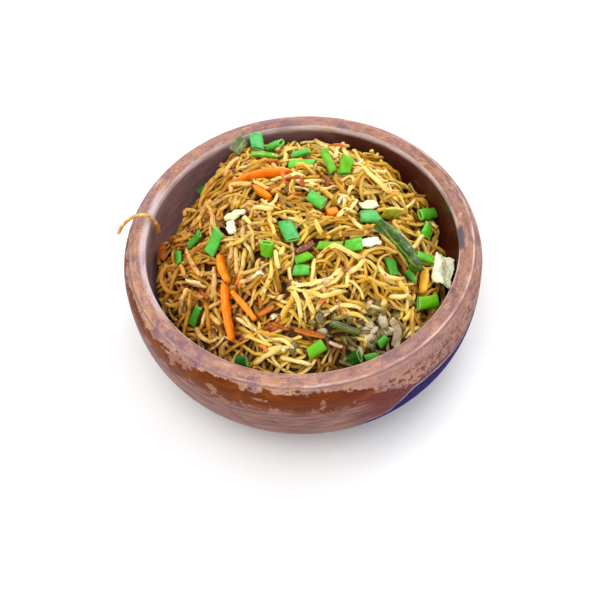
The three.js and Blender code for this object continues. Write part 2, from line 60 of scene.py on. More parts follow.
# The bowl, as the solid has it
BOWL_RADIUS = 80.0
BOWL_HEIGHT = 58.0
FOOT_RADIUS = 40.0
BELLY_HEIGHT = 48.0
BELLY_ROUNDNESS = 2.6
RIM_RADIUS = 72.8
OPENING_RADIUS = 69.5
LIP_HEIGHT = 56.6
FLOOR_HEIGHT = 10.0
WALL_ROUNDNESS = 2.8
BOWL_SEGMENTS = 192
GRAIN_RADIUS = 75.0  # at which the turned grain is stretched as much as its noises say
RIDGE_RADIUS = 76.2  # a turned line round the rim
RIDGE_HEIGHT = 0.22
RIDGE_WIDTH = 0.5

# The heap, as the solid has it
PEAK_HEIGHT = 73.0
EDGE_MEAN = 41.0
EDGE_SWING = 5.0
EDGE_SKEW = 2.0
MOUND_ROUNDNESS = 2.3
NOODLE_COVER = 3.5
LUMPS = [
    (-57, 30, -9, 14), (62, 4, -7, 14), (-23, 58, 9, 13), (52, 42, -3, 14),
    (-66, 12, 7, 12), (-42, -52, -3, 9), (-22, -64, -3, 8),
]
RIPPLE_HEIGHT = 1.2
RIPPLE_LENGTH = 7.0

# The pile of noodles
UNDERLAY = 4.5  # depth of noodles below the level on which the vegetables lie
NOODLE_COUNT = 1700
NOODLE_SIDES = 8
NOODLE_RADII = (0.74, 1.12)
NOODLE_LENGTHS = (16.0, 54.0)
SEEN_RADII = (0.96, 1.2)  # of the noodles placed as the photo shows them
NOODLE_FLATNESS = (0.58, 0.86)
BENDS = ((0, 45), (45, 130), (130, 230))  # degrees, of gently curved, hooked and curled noodles
GENTLE_SHARE = 0.5
CURLED_SHARE = 0.14
WAVES = ((8.0, 10), (15.0, 22), (28.0, 32))  # wavelengths in mm, each with its most turn in degrees
SEGMENT = 1.5  # length of one piece of a noodle's mesh
SINK = 0.3  # share of its radius that a noodle settles into what it lies on
CELL = 0.5  # spacing of the height map
REACH = 76.0  # half of the height map's side
TOP_LIMIT = CAD_BOX[1].z / MM - 0.2

WALL_GAP = 0.25  # clear of the bowl's wall
CORE_GAP = 0.4

# The camera, at the photo's viewing angle
ELEVATION = math.radians(53.57)
ROLL = math.radians(-4.42)
LENS = 84.42
SENSOR = 36.0
CAMERA_DISTANCE = 600.0
CAMERA_BACK = Vector((0, -math.cos(ELEVATION), math.sin(ELEVATION)))
CAMERA_PLACE = Vector((-2.61, -32.53, 58.0)) + CAMERA_BACK * CAMERA_DISTANCE
CAMERA_TURN = (-CAMERA_BACK).to_track_quat("-Z", "Y").to_matrix() @ Matrix.Rotation(ROLL, 3, "Z")
PICTURE_SIDE = 600  # pixels, for places that are given as seen in the picture

rng = np.random.default_rng(7)


# ---- shader helpers


def srgb(red, green, blue):
    """A colour given as 0 to 255 values, as the linear RGBA that a shader takes."""
    channels = [c / 255 for c in (red, green, blue)]
    linear = [c / 12.92 if c <= 0.04045 else ((c + 0.055) / 1.055) ** 2.4 for c in channels]
    return (*linear, 1.0)


class Shader:
    """A material built node by node, with places in millimetres and colours as 0 to 255 values."""

    def __init__(self, name):
        self.material = bpy.data.materials.new(name)
        self.material.use_nodes = True
        self.tree = self.material.node_tree
        self.tree.nodes.clear()
        self.surface = self.add("ShaderNodeBsdfPrincipled")
        output = self.add("ShaderNodeOutputMaterial")
        self.tree.links.new(self.surface.outputs[0], output.inputs[0])
        self.place = self.scaled(self.add("ShaderNodeTexCoord").outputs["Object"], 1 / MM)
        self.x, self.y, self.z = self.add("ShaderNodeSeparateXYZ", {0: self.place}).outputs[:3]

    def add(self, kind, inputs=None, **settings):
        node = self.tree.nodes.new(kind)
        for key, value in settings.items():
            setattr(node, key, value)
        for key, value in (inputs or {}).items():
            self.put(node.inputs[key], value)
        return node

    def put(self, socket, value):
        if isinstance(value, bpy.types.NodeSocket):
            self.tree.links.new(value, socket)
        else:
            socket.default_value = srgb(*value) if socket.type == "RGBA" else value

    def finish(self, **inputs):
        """Sets the surface's inputs, named with _ for each space."""
        for key, value in inputs.items():
            self.put(self.surface.inputs[key.replace("_", " ")], value)
        return self.material

    def attribute(self, name, output="Fac"):
        return self.add("ShaderNodeAttribute", attribute_name=name).outputs[output]

    def noise(self, size, detail=4.0, roughness=0.55, place=None, distortion=0.0):
        """Noise whose largest features are about size millimetres across."""
        inputs = {"Vector": place or self.place, "Scale": 1 / size, "Detail": detail}
        inputs.update({"Roughness": roughness, "Distortion": distortion})
        return self.add("ShaderNodeTexNoise", inputs).outputs["Fac"]

    def combined(self, x=0.0, y=0.0, z=0.0):
        return self.add("ShaderNodeCombineXYZ", {0: x, 1: y, 2: z}).outputs[0]

    def scaled(self, vector, scale):
        return self.add("ShaderNodeVectorMath", {0: vector, "Scale": scale}, operation="SCALE").outputs[0]

    def math(self, operation, first, second=0.0):
        return self.add("ShaderNodeMath", {0: first, 1: second}, operation=operation).outputs[0]

    def times(self, first, *others):
        for other in others:
            first = self.math("MULTIPLY", first, other)
        return first

    def plus(self, first, *others):
        for other in others:
            first = self.math("ADD", first, other)
        return first

    def swing(self, value, size):
        """A noise's value moved to both sides of zero, times size."""
        return self.times(self.math("SUBTRACT", value, 0.5), size)

    def step(self, value, low, high, start=0.0, end=1.0):
        """Goes smoothly from start to end as value goes from low to high."""
        inputs = {"Value": value, "From Min": low, "From Max": high, "To Min": start, "To Max": end}
        return self.add("ShaderNodeMapRange", inputs, interpolation_type="SMOOTHSTEP").outputs[0]

    def band(self, value, low, full, last_full, high):
        """Rises to 1 between low and full, and falls to 0 between last_full and high."""
        return self.times(self.step(value, low, full), self.step(value, last_full, high, 1, 0))

    def mix(self, share, first, second, blend="MIX"):
        inputs = {0: share, 6: first, 7: second}
        return self.add("ShaderNodeMix", inputs, data_type="RGBA", blend_type=blend).outputs[2]

    def tinted(self, colour, tint):
        return self.mix(1.0, colour, tint, "MULTIPLY")

    def layered(self, colour, *layers):
        """Lays (value, low, high, most, colour) over a colour, each growing to most at high."""
        for value, low, high, most, over in layers:
            colour = self.mix(self.step(value, low, high, 0, most), colour, over)
        return colour

    def ramp(self, value, *stops):
        node = self.add("ShaderNodeValToRGB", {"Fac": value})
        elements = node.color_ramp.elements
        while len(elements) < len(stops):
            elements.new(0.5)
        for element, (position, colour) in zip(elements, stops):
            element.position = position
            element.color = srgb(*colour)
        return node.outputs[0]

    def bump(self, height, strength, distance):
        inputs = {"Height": height, "Strength": strength, "Distance": distance * MM}
        return self.add("ShaderNodeBump", inputs).outputs[0]


# ---- mesh helpers


def circle(count, first=0.0):
    """Angles of count points round a circle, the first one so many steps on."""
    return (np.arange(count) + first) / count * TURN


def per_point(value, count):
    """One value for each of count points; a number or a colour given once is repeated."""
    value = np.asarray(value, float)
    if value.shape == (4,):
        return np.tile(value, (count, 1))
    return value if value.ndim else np.full(count, value)


def add_piece(name, points, faces, material, slot, nodes, **values):
    """A smooth mesh that rides in the bowl and stands for the CAD nodes; values are its attributes."""
    mesh = bpy.data.meshes.new(name)
    mesh.from_pydata((np.asarray(points) * MM).tolist(), [], faces)
    mesh.polygons.foreach_set("use_smooth", [True] * len(mesh.polygons))
    for key, value in values.items():
        value = per_point(value, len(points)).astype(np.float32)
        kind, field = ("FLOAT_COLOR", "color") if value.ndim == 2 else ("FLOAT", "value")
        mesh.attributes.new(key, kind, "POINT").data.foreach_set(field, value.ravel())
    mesh.materials.append(material)
    piece = bpy.data.objects.new(name, mesh)
    bpy.context.scene.collection.objects.link(piece)
    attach(piece, "root")
    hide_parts(*nodes)


class Gathered:
    """Many small closed shapes, joined into the arrays of one mesh."""

    def __init__(self):
        self.points, self.faces, self.values, self.count = [], [], {}, 0

    def add(self, points, faces, **values):
        self.points.append(points)
        self.faces += [tuple(i + self.count for i in face) for face in faces]
        for key, value in values.items():
            self.values.setdefault(key, []).append(per_point(value, len(points)))
        self.count += len(points)

    def piece(self, name, material, slot, nodes):
        values = {key: np.concatenate(parts) for key, parts in self.values.items()}
        add_piece(name, np.concatenate(self.points), self.faces, material, slot, nodes, **values)


def ring_faces(rings, sides, closed=True):
    """Quads between rings of points, with the first and last rings closed to one point each."""
    sequence = list(enumerate([*range(1, sides), 0]))
    faces = []
    for low in range(0, (rings - 1) * sides, sides):
        high = low + sides
        faces += [(low + side, low + after, high + after, high + side) for side, after in sequence]
    if closed:
        start, last = rings * sides, (rings - 1) * sides
        for side, after in sequence:
            faces.append((start, after, side))
            faces.append((start + 1, last + side, last + after))
    return faces


def unit(vectors):
    return vectors / np.maximum(np.linalg.norm(vectors, axis=-1, keepdims=True), 1e-9)


def spline(points, count):
    """Catmull-Rom curve through points, at count even steps of its parameter."""
    points = np.asarray(points, float)
    ends = [2 * points[0] - points[1], 2 * points[-1] - points[-2]]
    padded = np.vstack([ends[0], points, ends[1]])
    where = np.linspace(0, len(points) - 1, count)
    index = np.minimum(where.astype(int), len(points) - 2)
    t = (where - index)[:, None]
    a, b, c, d = (padded[index + k] for k in range(4))
    return 0.5 * (2 * b + (c - a) * t + (2 * a - 5 * b + 4 * c - d) * t**2 + (3 * b - a - 3 * c + d) * t**3)


def path_length(path):
    return np.sum(np.linalg.norm(np.diff(path, axis=0), axis=1))


def tube(path, radius, sides, flatness, twist):
    """A strand along path with blunt, slightly narrowed ends; radius and twist may change along it."""
    tangent = unit(np.gradient(path, axis=0))
    side = np.cross(tangent[0], (0.0, 0.0, 1.0))
    if np.linalg.norm(side) < 0.1:
        side = np.cross(tangent[0], (0.0, 1.0, 0.0))
    sideways = []
    for direction in tangent:
        side = unit(side - direction * np.dot(side, direction))
        sideways.append(side)
    sideways = np.array(sideways)
    upwards = np.cross(sideways, tangent)
    end_size, blunt = 0.72, 0.25
    narrowing = np.ones(len(path))
    narrowing[[0, -1]] = end_size
    reach = (radius * narrowing)[:, None]
    wide = np.cos(circle(sides)) * reach
    thick = np.sin(circle(sides)) * reach * flatness
    turn = np.broadcast_to(twist, len(path))[:, None]
    across = (wide * np.cos(turn) - thick * np.sin(turn))[..., None] * sideways[:, None, :]
    above = (wide * np.sin(turn) + thick * np.cos(turn))[..., None] * upwards[:, None, :]
    rings = path[:, None, :] + across + above
    caps = [path[0] - tangent[0] * blunt, path[-1] + tangent[-1] * blunt]
    return np.vstack([rings.reshape(-1, 3), caps]), ring_faces(len(path), sides)


def strand_values(along, sides):
    """For a tube's points: nearness to a tip, place along it, and across and above its middle."""
    length = along[-1]
    tip_reach = 2.5
    tip = np.clip(1 - np.minimum(along, length - along) / tip_reach, 0, 1)
    return {
        "tip": [*np.repeat(tip, sides), 1, 1],
        "lengthwise": [*np.repeat(along, sides), 0, length],
        "sideways": [*np.tile(np.cos(circle(sides)), len(along)), 0, 0],
        "upwards": [*np.tile(np.sin(circle(sides)), len(along)), 0, 0],
    }


# ---- the bowl


def wall_radius(z):
    rise = np.clip((z - FLOOR_HEIGHT) / (LIP_HEIGHT - FLOOR_HEIGHT), 0, 1)
    return OPENING_RADIUS * (1 - (1 - rise) ** WALL_ROUNDNESS) ** (1 / WALL_ROUNDNESS)


def rounded_corner(angle, roundness):
    """How far out and how far up a rounded corner is at an angle, as shares of its size."""
    return math.sin(angle) ** (2 / roundness), 1 - math.cos(angle) ** (2 / roundness)


def bowl_profile():
    """Points (radius, height) from the foot's centre over the rim to the centre of the floor."""
    profile = [(share * FOOT_RADIUS, 0.0) for share in (0.0, 0.35, 0.7, 0.93)]
    for angle in np.linspace(0, math.pi / 2, 44):
        spread, rise = rounded_corner(angle, BELLY_ROUNDNESS)
        profile.append((FOOT_RADIUS + (BOWL_RADIUS - FOOT_RADIUS) * spread, BELLY_HEIGHT * rise))
    for angle in np.linspace(0, math.pi / 2, 26)[1:]:
        radius = RIM_RADIUS + (BOWL_RADIUS - RIM_RADIUS) * math.cos(angle)
        height = BELLY_HEIGHT + (BOWL_HEIGHT - BELLY_HEIGHT) * math.sin(angle)
        ridge = RIDGE_HEIGHT * math.exp(-(((radius - RIDGE_RADIUS) / RIDGE_WIDTH) ** 2))
        profile.append((radius, height + ridge))
    profile.append((RIM_RADIUS - 1.2, BOWL_HEIGHT - 0.1))
    for outside, below in ((1.1, 0.45), (0.3, 0.95)):  # the inner lip
        profile.append((OPENING_RADIUS + outside, BOWL_HEIGHT - below))
    for angle in np.linspace(math.pi / 2, 0, 46):
        spread, rise = rounded_corner(angle, WALL_ROUNDNESS)
        profile.append((OPENING_RADIUS * spread, FLOOR_HEIGHT + (LIP_HEIGHT - FLOOR_HEIGHT) * rise))
    return np.array(profile)


def make_bowl(material):
    profile = bowl_profile()
    steps = np.linalg.norm(np.diff(profile, axis=0), axis=1)
    length = np.concatenate([[0], np.cumsum(steps)])
    top = length[np.argmax(profile[:, 1])]
    rings = profile[1:-1]
    angles = circle(BOWL_SEGMENTS)
    # Turned and dried by hand: a little out of round, and never outside its nominal size.
    wobble = 1 - 0.0022 * (1 + np.sin(2 * angles + 0.7)) - 0.0008 * (1 + np.sin(5 * angles))
    radius = rings[:, :1] * wobble
    height = np.repeat(rings[:, 1:], BOWL_SEGMENTS, 1)
    points = np.stack([radius * np.cos(angles), radius * np.sin(angles), height], axis=-1)
    points = np.vstack([points.reshape(-1, 3), (0, 0, profile[0, 1]), (0, 0, profile[-1, 1])])
    faces = ring_faces(len(rings), BOWL_SEGMENTS)
    outward = top - length[1:-1]  # measured along the surface: positive outside, negative inside
    measure = [*np.repeat(outward, BOWL_SEGMENTS), top, top - length[-1]]
    add_piece("bowl_wood", points, faces, material, "bowl_wood", ["bowl"], outward=measure)


class WoodShader(Shader):
    """The measures and noises that the zones of the bowl's surface share."""

    def __init__(self, name):
        super().__init__(name)
        self.outward = self.attribute("outward")
        self.bearing = self.math("ARCTAN2", self.y, self.x)
        self.mottle = self.noise(5.5, 6, 0.65)
        self.speckle = self.noise(1.1, 5, 0.75)
        self.streaks = self.noise(2.6, 6, 0.62, self.turned(4.5), 0.25)
        self.patchy = self.noise(6.5, 5, 0.6, self.turned(2.2), 0.4)
        self.lines = self.noise(0.9, 4, 0.6, self.turned(14))
        self.ragged = self.plus(self.swing(self.mottle, 15), self.swing(self.streaks, 8))

    def turned(self, stretch):
        """A place that runs round the bowl, stretched that way, and along its surface."""
        flat = self.combined(self.x, self.y)
        round_it = self.add("ShaderNodeVectorMath", {0: flat}, operation="NORMALIZE").outputs[0]
        round_it = self.scaled(round_it, GRAIN_RADIUS / stretch)
        along = self.combined(z=self.outward)
        return self.add("ShaderNodeVectorMath", {0: round_it, 1: along}).outputs[0]


def rim_colour(s):
    """Worn, pinkish bare wood with rusty, cream and lilac grey blotches, a pale lip that is partly a
    painted highlight, and painted shade towards the right.
    """
    rim = s.ramp(
        s.patchy,
        (0.30, (112, 88, 94)),
        (0.41, (148, 108, 98)),
        (0.50, (172, 132, 116)),
        (0.60, (160, 110, 88)),
        (0.70, (204, 168, 146)),
    )
    rim = s.layered(
        rim,
        (s.streaks, 0.56, 0.66, 0.75, (206, 166, 144)),
        (s.streaks, 0.44, 0.34, 0.7, (118, 72, 60)),
        (s.speckle, 0.55, 0.63, 0.7, (108, 72, 70)),
        (s.speckle, 0.44, 0.35, 0.35, (210, 178, 166)),
        (s.noise(30, 3), 0.42, 0.60, 0.35, (150, 112, 112)),
    )
    blotches = s.noise(9, 4, 0.6)
    blotched = s.step(s.x, 0, 50, 0.55, 0.2)
    rim = s.mix(s.times(s.step(blotches, 0.52, 0.64), blotched), rim, (190, 144, 108))
    rim = s.mix(s.times(s.step(blotches, 0.46, 0.36), blotched), rim, (118, 90, 106))
    # Painted shade: the rim a little darker towards the right.
    rim = s.mix(s.step(s.x, 30, 74), rim, s.tinted(rim, (238, 234, 234)))
    groove = s.band(s.outward, 3.9, 4.3, 4.5, 5.0)
    rim = s.mix(s.times(groove, s.step(s.patchy, 0.4, 0.55, 0.1, 0.65)), rim, (96, 74, 80))
    ridge = s.times(s.band(s.outward, 2.6, 3.2, 3.5, 4.1), s.step(s.x, -50, 20, 0.2, 1))
    rim = s.mix(s.times(ridge, s.step(s.streaks, 0.4, 0.6, 0.15, 0.7)), rim, (218, 190, 176))
    # Pale lip all round: partly wear, partly a painted highlight.
    lip = s.step(s.outward, -3.6, -2.6, 1, 0)
    rim = s.mix(s.times(lip, s.step(s.streaks, 0.3, 0.6, 0.4, 0.9)), rim, (220, 204, 208))
    # A stronger painted highlight on the inner lip at the left.
    lit = s.times(s.step(s.outward, 0.2, -2.4), s.step(s.x, -56, -66))
    return s.mix(s.times(lit, s.step(s.streaks, 0.3, 0.55, 0.3, 0.75)), rim, (210, 194, 200))


def side_colour(s, edge):
    """Lacquer, orange brown on the left and redder on the right, scuffed to a grey haze low down."""
    lacquer = s.mix(s.step(s.x, -10, 40), (106, 48, 0), (104, 34, 22))
    lacquer = s.layered(
        lacquer,
        (s.lines, 0.35, 0.7, 0.6, (76, 26, 4)),
        (s.patchy, 0.5, 0.66, 0.5, (140, 66, 10)),
        (s.noise(8, 5, 0.62), 0.59, 0.62, 0.85, (150, 104, 88)),
    )
    scuffed = s.mix(s.step(s.lines, 0.35, 0.65), (98, 66, 60), (148, 108, 98))
    scuffed = s.layered(scuffed, (s.streaks, 0.5, 0.66, 0.7, (100, 54, 38)))
    reddish = s.band(s.bearing, -1.42, -1.2, 0.4, 1.6)
    scuffed = s.mix(reddish, scuffed, s.tinted(scuffed, (200, 110, 110)))
    return s.layered(lacquer, (edge, 17.5, 20, 1, scuffed), (s.outward, 48, 70, 0.75, (84, 42, 24)))


def inside_colour(s):
    """Purplish near the lip, with a painted sheen in the lilac on the left, then dark brown on the left and
    red brown on the right, and a painted highlight near the lip on the left.
    """
    near_lip = s.plus(s.outward, s.swing(s.patchy, 10))
    inside = s.mix(s.step(s.x, -35, 40), (146, 112, 116), (86, 34, 16))
    # Lilac near the lip on the left: partly the wood's colour, partly a painted sheen.
    lilac = s.mix(s.step(s.x, -20, 30), (140, 112, 124), (96, 52, 44))
    inside = s.layered(inside, (near_lip, -17, -8, 0.75, lilac))
    # Painted highlight near the lip on the left.
    painted_inner_highlight = s.times(s.step(near_lip, -13, -4), s.step(s.x, -58, -67), 0.65)
    inside = s.mix(painted_inner_highlight, inside, (196, 180, 190))
    return s.layered(inside, (s.lines, 0.4, 0.72, 0.45, (62, 34, 30)))


def painted_violet_reflection(s):
    """Shares of a painted violet reflection low on the right of the front, and of its painted pale edge
    highlight.
    """
    where = s.band(s.bearing, -1.3, -1.26, -0.3, -0.08)
    level = s.plus(s.z, s.swing(s.mottle, 3), s.step(s.bearing, -1.2, -0.96, 13, 0))
    level = s.math("SUBTRACT", level, s.step(s.bearing, -0.62, -0.3, 0, 5))
    reflection_highlight_share = s.times(where, s.step(level, 36.6, 38.8, 0.6, 0), s.step(s.streaks, 0.42, 0.6, 0.2, 1))
    return s.times(where, s.step(level, 35.6, 36.6, 1, 0)), reflection_highlight_share


def bowl_material():
    """Lacquered wood, worn pale on the rim and down the right of the front, with a painted violet
    reflection there.
    """
    s = WoodShader("turned_wood")
    edge = s.plus(s.outward, s.ragged)
    worn_right = s.times(s.step(s.bearing, -1.45, -0.95, 0, 15), s.step(s.bearing, -0.2, 0.6, 1, 0))
    rim_share = s.step(s.math("SUBTRACT", edge, worn_right), 6.4, 7.3, 1, 0)
    colour = s.mix(rim_share, side_colour(s, edge), rim_colour(s))
    red = s.times(s.step(s.noise(2.4, 5, 0.7), 0.5, 0.55, 0, 0.85), s.step(worn_right, 3, 9))
    colour = s.mix(s.times(red, s.step(s.outward, 8, 10.5)), colour, (98, 38, 30))
    # Painted reflection: a dark violet patch low on the right, with a pale painted highlight along its
    # upper edge.
    violet_reflection_share, reflection_highlight_share = painted_violet_reflection(s)
    colour = s.mix(reflection_highlight_share, colour, (178, 158, 190))
    colour = s.mix(violet_reflection_share, colour, (28, 10, 78))
    inside_edge = s.plus(s.outward, s.times(s.ragged, 0.08))
    colour = s.mix(s.step(inside_edge, -7.5, -4.2, 1, 0), colour, inside_colour(s))
    # A grey dent in the inner lip at the right
    dent = s.plus(s.math("ABSOLUTE", s.plus(s.bearing, 0.07)), s.times(s.mottle, 0.06))
    dent = s.times(s.step(dent, 0.10, 0.14, 0.9, 0), s.band(s.outward, -6.5, -4, -1.5, -0.5))
    colour = s.mix(dent, colour, (84, 80, 92))
    rough = s.plus(s.times(s.speckle, 0.24), 0.34, s.times(rim_share, 0.1), s.times(violet_reflection_share, 0.3))
    relief = s.plus(s.times(s.lines, 0.45), s.times(s.speckle, 0.35), s.times(s.streaks, 0.5))
    relief = s.plus(relief, s.times(rim_share, -0.5))
    return s.finish(
        Base_Color=colour,
        Roughness=rough,
        Normal=s.bump(relief, 0.55, 0.4),
        Specular_IOR_Level=0.08,
        Coat_Weight=s.step(s.outward, -2.4, -4.0, 0, 0.8),
        Coat_Roughness=0.22,
    )


# ---- the heap's form


def mound_height(x, y):
    reach = np.minimum(np.hypot(x, y) / OPENING_RADIUS, 1)
    bearing = np.arctan2(y, x)
    edge = EDGE_MEAN - EDGE_SWING * np.cos(2 * bearing) + EDGE_SKEW * np.sin(2 * bearing)
    height = edge + (PEAK_HEIGHT - edge) * (1 - reach**MOUND_ROUNDNESS)
    for at_x, at_y, rise, spread in LUMPS:
        height = height + rise * np.exp(-(((x - at_x) ** 2 + (y - at_y) ** 2) / spread**2))
    ripple = np.sin(x / RIPPLE_LENGTH + 1) * np.sin(y / (RIPPLE_LENGTH + 1))
    return height + RIPPLE_HEIGHT * ripple


def on_heap(across, down):
    """The point of the heap's form that is seen at a pixel of the picture."""
    slope = SENSOR / LENS
    right, up = (across / PICTURE_SIDE - 0.5) * slope, (0.5 - down / PICTURE_SIDE) * slope
    ray = np.array(CAMERA_TURN @ Vector((right, up, -1)))
    reach = np.arange(0.8 * CAMERA_DISTANCE, 1.2 * CAMERA_DISTANCE, 0.25)
    points = np.array(CAMERA_PLACE) + reach[:, None] * ray
    below = points[:, 2] < mound_height(points[:, 0], points[:, 1])
    return points[np.argmax(below)]


def steps_to(count):
    """Shares from the first of count even steps to 1."""
    return np.linspace(0, 1, count + 1)[1:]


def make_core(material):
    """The inside of the heap: a closed dark body under the noodles, a hair clear of the bowl."""
    sides, top_rings, wall_rings, floor_gap, narrowest = 96, 26, 14, 0.5, 2

    def dome(x, y):
        return mound_height(x, y) - NOODLE_COVER - UNDERLAY

    x, y = np.cos(circle(sides)), np.sin(circle(sides))
    edge = np.full(sides, OPENING_RADIUS)
    for _ in range(12):  # closes in on where the dome meets the wall
        edge = wall_radius(dome(edge * x, edge * y)) - CORE_GAP
    profile = [(edge * share, dome(edge * share * x, edge * share * y)) for share in steps_to(top_rings)]
    brink, lowest = profile[-1][1], FLOOR_HEIGHT + floor_gap
    for share in steps_to(wall_rings):
        height = brink * (1 - share) + lowest * share
        profile.append((np.maximum(wall_radius(height) - CORE_GAP, narrowest), height))
    rings = [np.stack([reach * x, reach * y, height], axis=-1) for reach, height in profile]
    points = np.vstack([*rings, (0, 0, dome(0.0, 0.0)), (0, 0, lowest)])
    faces = [face[::-1] for face in ring_faces(len(rings), sides)]
    add_piece("heap_core", points, faces, material, "noodle", ["noodle_heap"])


# ---- the pile of noodles


def grid_index(values):
    return np.clip(np.rint((values + REACH) / CELL).astype(int), 0, int(2 * REACH / CELL))


def node_samples(name):
    """Points no more than a cell of the height map apart all over a CAD node, in millimetres."""
    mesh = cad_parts[name].data
    mesh.calc_loop_triangles()
    corners = np.array([v.co for v in mesh.vertices]) / MM
    found = []
    for triangle in mesh.loop_triangles:
        a, b, c = corners[list(triangle.vertices)]
        longest = max(np.linalg.norm(a - b), np.linalg.norm(b - c), np.linalg.norm(c - a))
        steps = max(1, math.ceil(longest / CELL))
        u, v = np.meshgrid(np.arange(steps + 1), np.arange(steps + 1))
        keep = u + v <= steps
        u, v = u[keep][:, None] / steps, v[keep][:, None] / steps
        found.append(a * u + b * v + c * (1 - u - v))
    return np.vstack(found)


def spread_out(field, distance, pick):
    """The highest or lowest value within distance of each cell."""
    steps = int(round(distance / CELL))
    result = field.copy()
    for dx in range(-steps, steps + 1):
        for dy in range(-steps, steps + 1):
            if (dx or dy) and math.hypot(dx, dy) * CELL <= distance:
                result = pick(result, np.roll(field, (dx, dy), (0, 1)))
    return result


# Dark gaps between noodles, at pixels of the picture
HOLLOWS = [
    (255, 250), (246, 266), (330, 317), (229, 350), (342, 361), (389, 311), (304, 327), (324, 274),
    (175, 288), (200, 307), (173, 314), (199, 341), (208, 262), (291, 330), (352, 300), (262, 192),
    (317, 233), (228, 228), (272, 320), (243, 292), (283, 285), (372, 296), (401, 262), (222, 300),
]
# Dark wet places among the noodles, each with its middle in the picture and its reach in mm
SOAKED = [((338, 337), 9.5), ((388, 338), 11.0), ((352, 356), 9.0), ((430, 322), 6.0)]
HOLLOW_DEPTH = 5.4
HOLLOW_RADIUS = 3.4


class Pile:
    """The strands laid in the bowl and their height on a square grid, clear of the vegetables."""

    def __init__(self, vegetables):
        self.strands = []
        axis = np.arange(-REACH, REACH + CELL / 2, CELL)
        x, y = np.meshgrid(axis, axis, indexing="ij")
        self.goal = mound_height(x, y)
        self.surface = self.goal - NOODLE_COVER - UNDERLAY
        self.goal += self.unevenness(axis)
        self.high = np.full_like(self.goal, -np.inf)
        low = np.full_like(self.goal, np.inf)
        for name in vegetables:
            samples = node_samples(name)
            cells = grid_index(samples[:, 0]), grid_index(samples[:, 1])
            np.maximum.at(self.high, cells, samples[:, 2])
            np.minimum.at(low, cells, samples[:, 2])
        self.near_high = spread_out(self.high, 1.0, np.maximum)
        self.near_low = spread_out(low, 1.0, np.minimum)

    def unevenness(self, axis):
        """Clumps and hollows in the top of the heap, some of them where the photo shows dark gaps."""
        clump, height, most = 9.0, 2.4, 0.5
        waves = [[noise.noise(Vector((a, b, 0)) / clump) for b in axis] for a in axis]
        change = np.minimum(height * np.array(waves), most)
        for across, down in HOLLOWS:
            x, y, _ = on_heap(across, down)
            distance = np.hypot(axis[:, None] - x, axis[None, :] - y)
            change -= HOLLOW_DEPTH * np.exp(-((distance / HOLLOW_RADIUS) ** 2))
        return change

    def relax(self, plan, radius, cross=False):
        """Heights at which stiff strands rest on the pile; plan is an array (strand, point, 2)."""
        cells = grid_index(plan[..., 0]), grid_index(plan[..., 1])
        rest = self.surface[cells] + radius * (1 - SINK)
        if cross:
            rest = np.maximum(rest, self.high[cells] + radius)
        height = rest.copy()
        sag, rounds = 0.035, 40
        for _ in range(rounds):
            between = (height[:, :-2] + height[:, 2:]) / 2 - sag
            height[:, 1:-1] = np.maximum(rest[:, 1:-1], between)
            height[:, 0] = np.maximum(rest[:, 0], 2 * height[:, 1] - height[:, 2] - 4 * sag)
            height[:, -1] = np.maximum(rest[:, -1], 2 * height[:, -2] - height[:, -3] - 4 * sag)
        return height

    def free(self, path, radius, cross=False):
        """Where each point of a path is clear of the wall and, unless it crosses them, the vegetables."""
        x, y, z = path[..., 0], path[..., 1], path[..., 2]
        clear = np.hypot(x, y) + radius + WALL_GAP < wall_radius(z - radius * 0.5)
        clear &= z + radius < TOP_LIMIT
        if not cross:
            cells = grid_index(x), grid_index(y)
            clear &= np.isinf(self.near_high[cells]) | (z + radius < self.near_low[cells])
        return clear

    def missing(self, path, radius):
        """How far the crown of each point of a path is below the top that the heap should get."""
        return self.goal[grid_index(path[..., 0]), grid_index(path[..., 1])] - path[..., 2] - radius

    def lay_free(self, path, radius, fewest_points, kind=None):
        """Lays the longest free stretch of a path if it has enough points, and tells if it did."""
        start, end = longest_run(self.free(path, radius))
        enough = end - start >= fewest_points
        if enough:
            self.lay(path[start:end], radius, kind=kind)
        return enough

    def lay(self, path, radius, depth=0.0, kind=None):
        """Keeps a strand, and raises the surface to its crown."""
        self.strands.append((path, radius, depth, kind))
        fine = spline(path, max(2, int(path_length(path) / (CELL * 0.8))))
        steps = int(radius / CELL) + 1
        for dx in range(-steps, steps + 1):
            for dy in range(-steps, steps + 1):
                away = (dx * dx + dy * dy) * CELL * CELL
                if away < radius * radius:
                    cells = grid_index(fine[:, 0] + dx * CELL), grid_index(fine[:, 1] + dy * CELL)
                    np.maximum.at(self.surface, cells, fine[:, 2] + math.sqrt(radius * radius - away))


def plan_strands(x, y, heading, length, bend, points=20):
    """Plan views of strands, each an arc with irregular waves along it; all arguments are arrays."""
    count = len(x)
    share = (np.arange(points - 1) + 0.5) / (points - 1)
    along = share * length[:, None]
    angle = heading[:, None] + bend[:, None] * (share - 0.5)
    for wavelength, most in WAVES:
        size = np.radians(rng.uniform(0, most, (count, 1)))
        actual = wavelength * rng.uniform(0.75, 1.35, (count, 1))
        angle = angle + size * np.sin(TURN * along / actual + rng.uniform(0, TURN, (count, 1)))
    step = (length / (points - 1))[:, None]
    offsets = np.stack([step * np.cos(angle), step * np.sin(angle)], axis=-1)
    path = np.concatenate([np.zeros((count, 1, 2)), np.cumsum(offsets, axis=1)], axis=1)
    path -= path.mean(axis=1, keepdims=True)
    return path + np.stack([x, y], axis=-1)[:, None, :]


def longest_run(flags):
    """Start and end of the longest run of true flags."""
    best, start = (0, 0), None
    for index, flag in enumerate([*flags, False]):
        if flag and start is None:
            start = index
        if not flag and start is not None:
            if index - start > best[1] - best[0]:
                best = (start, index)
            start = None
    return best


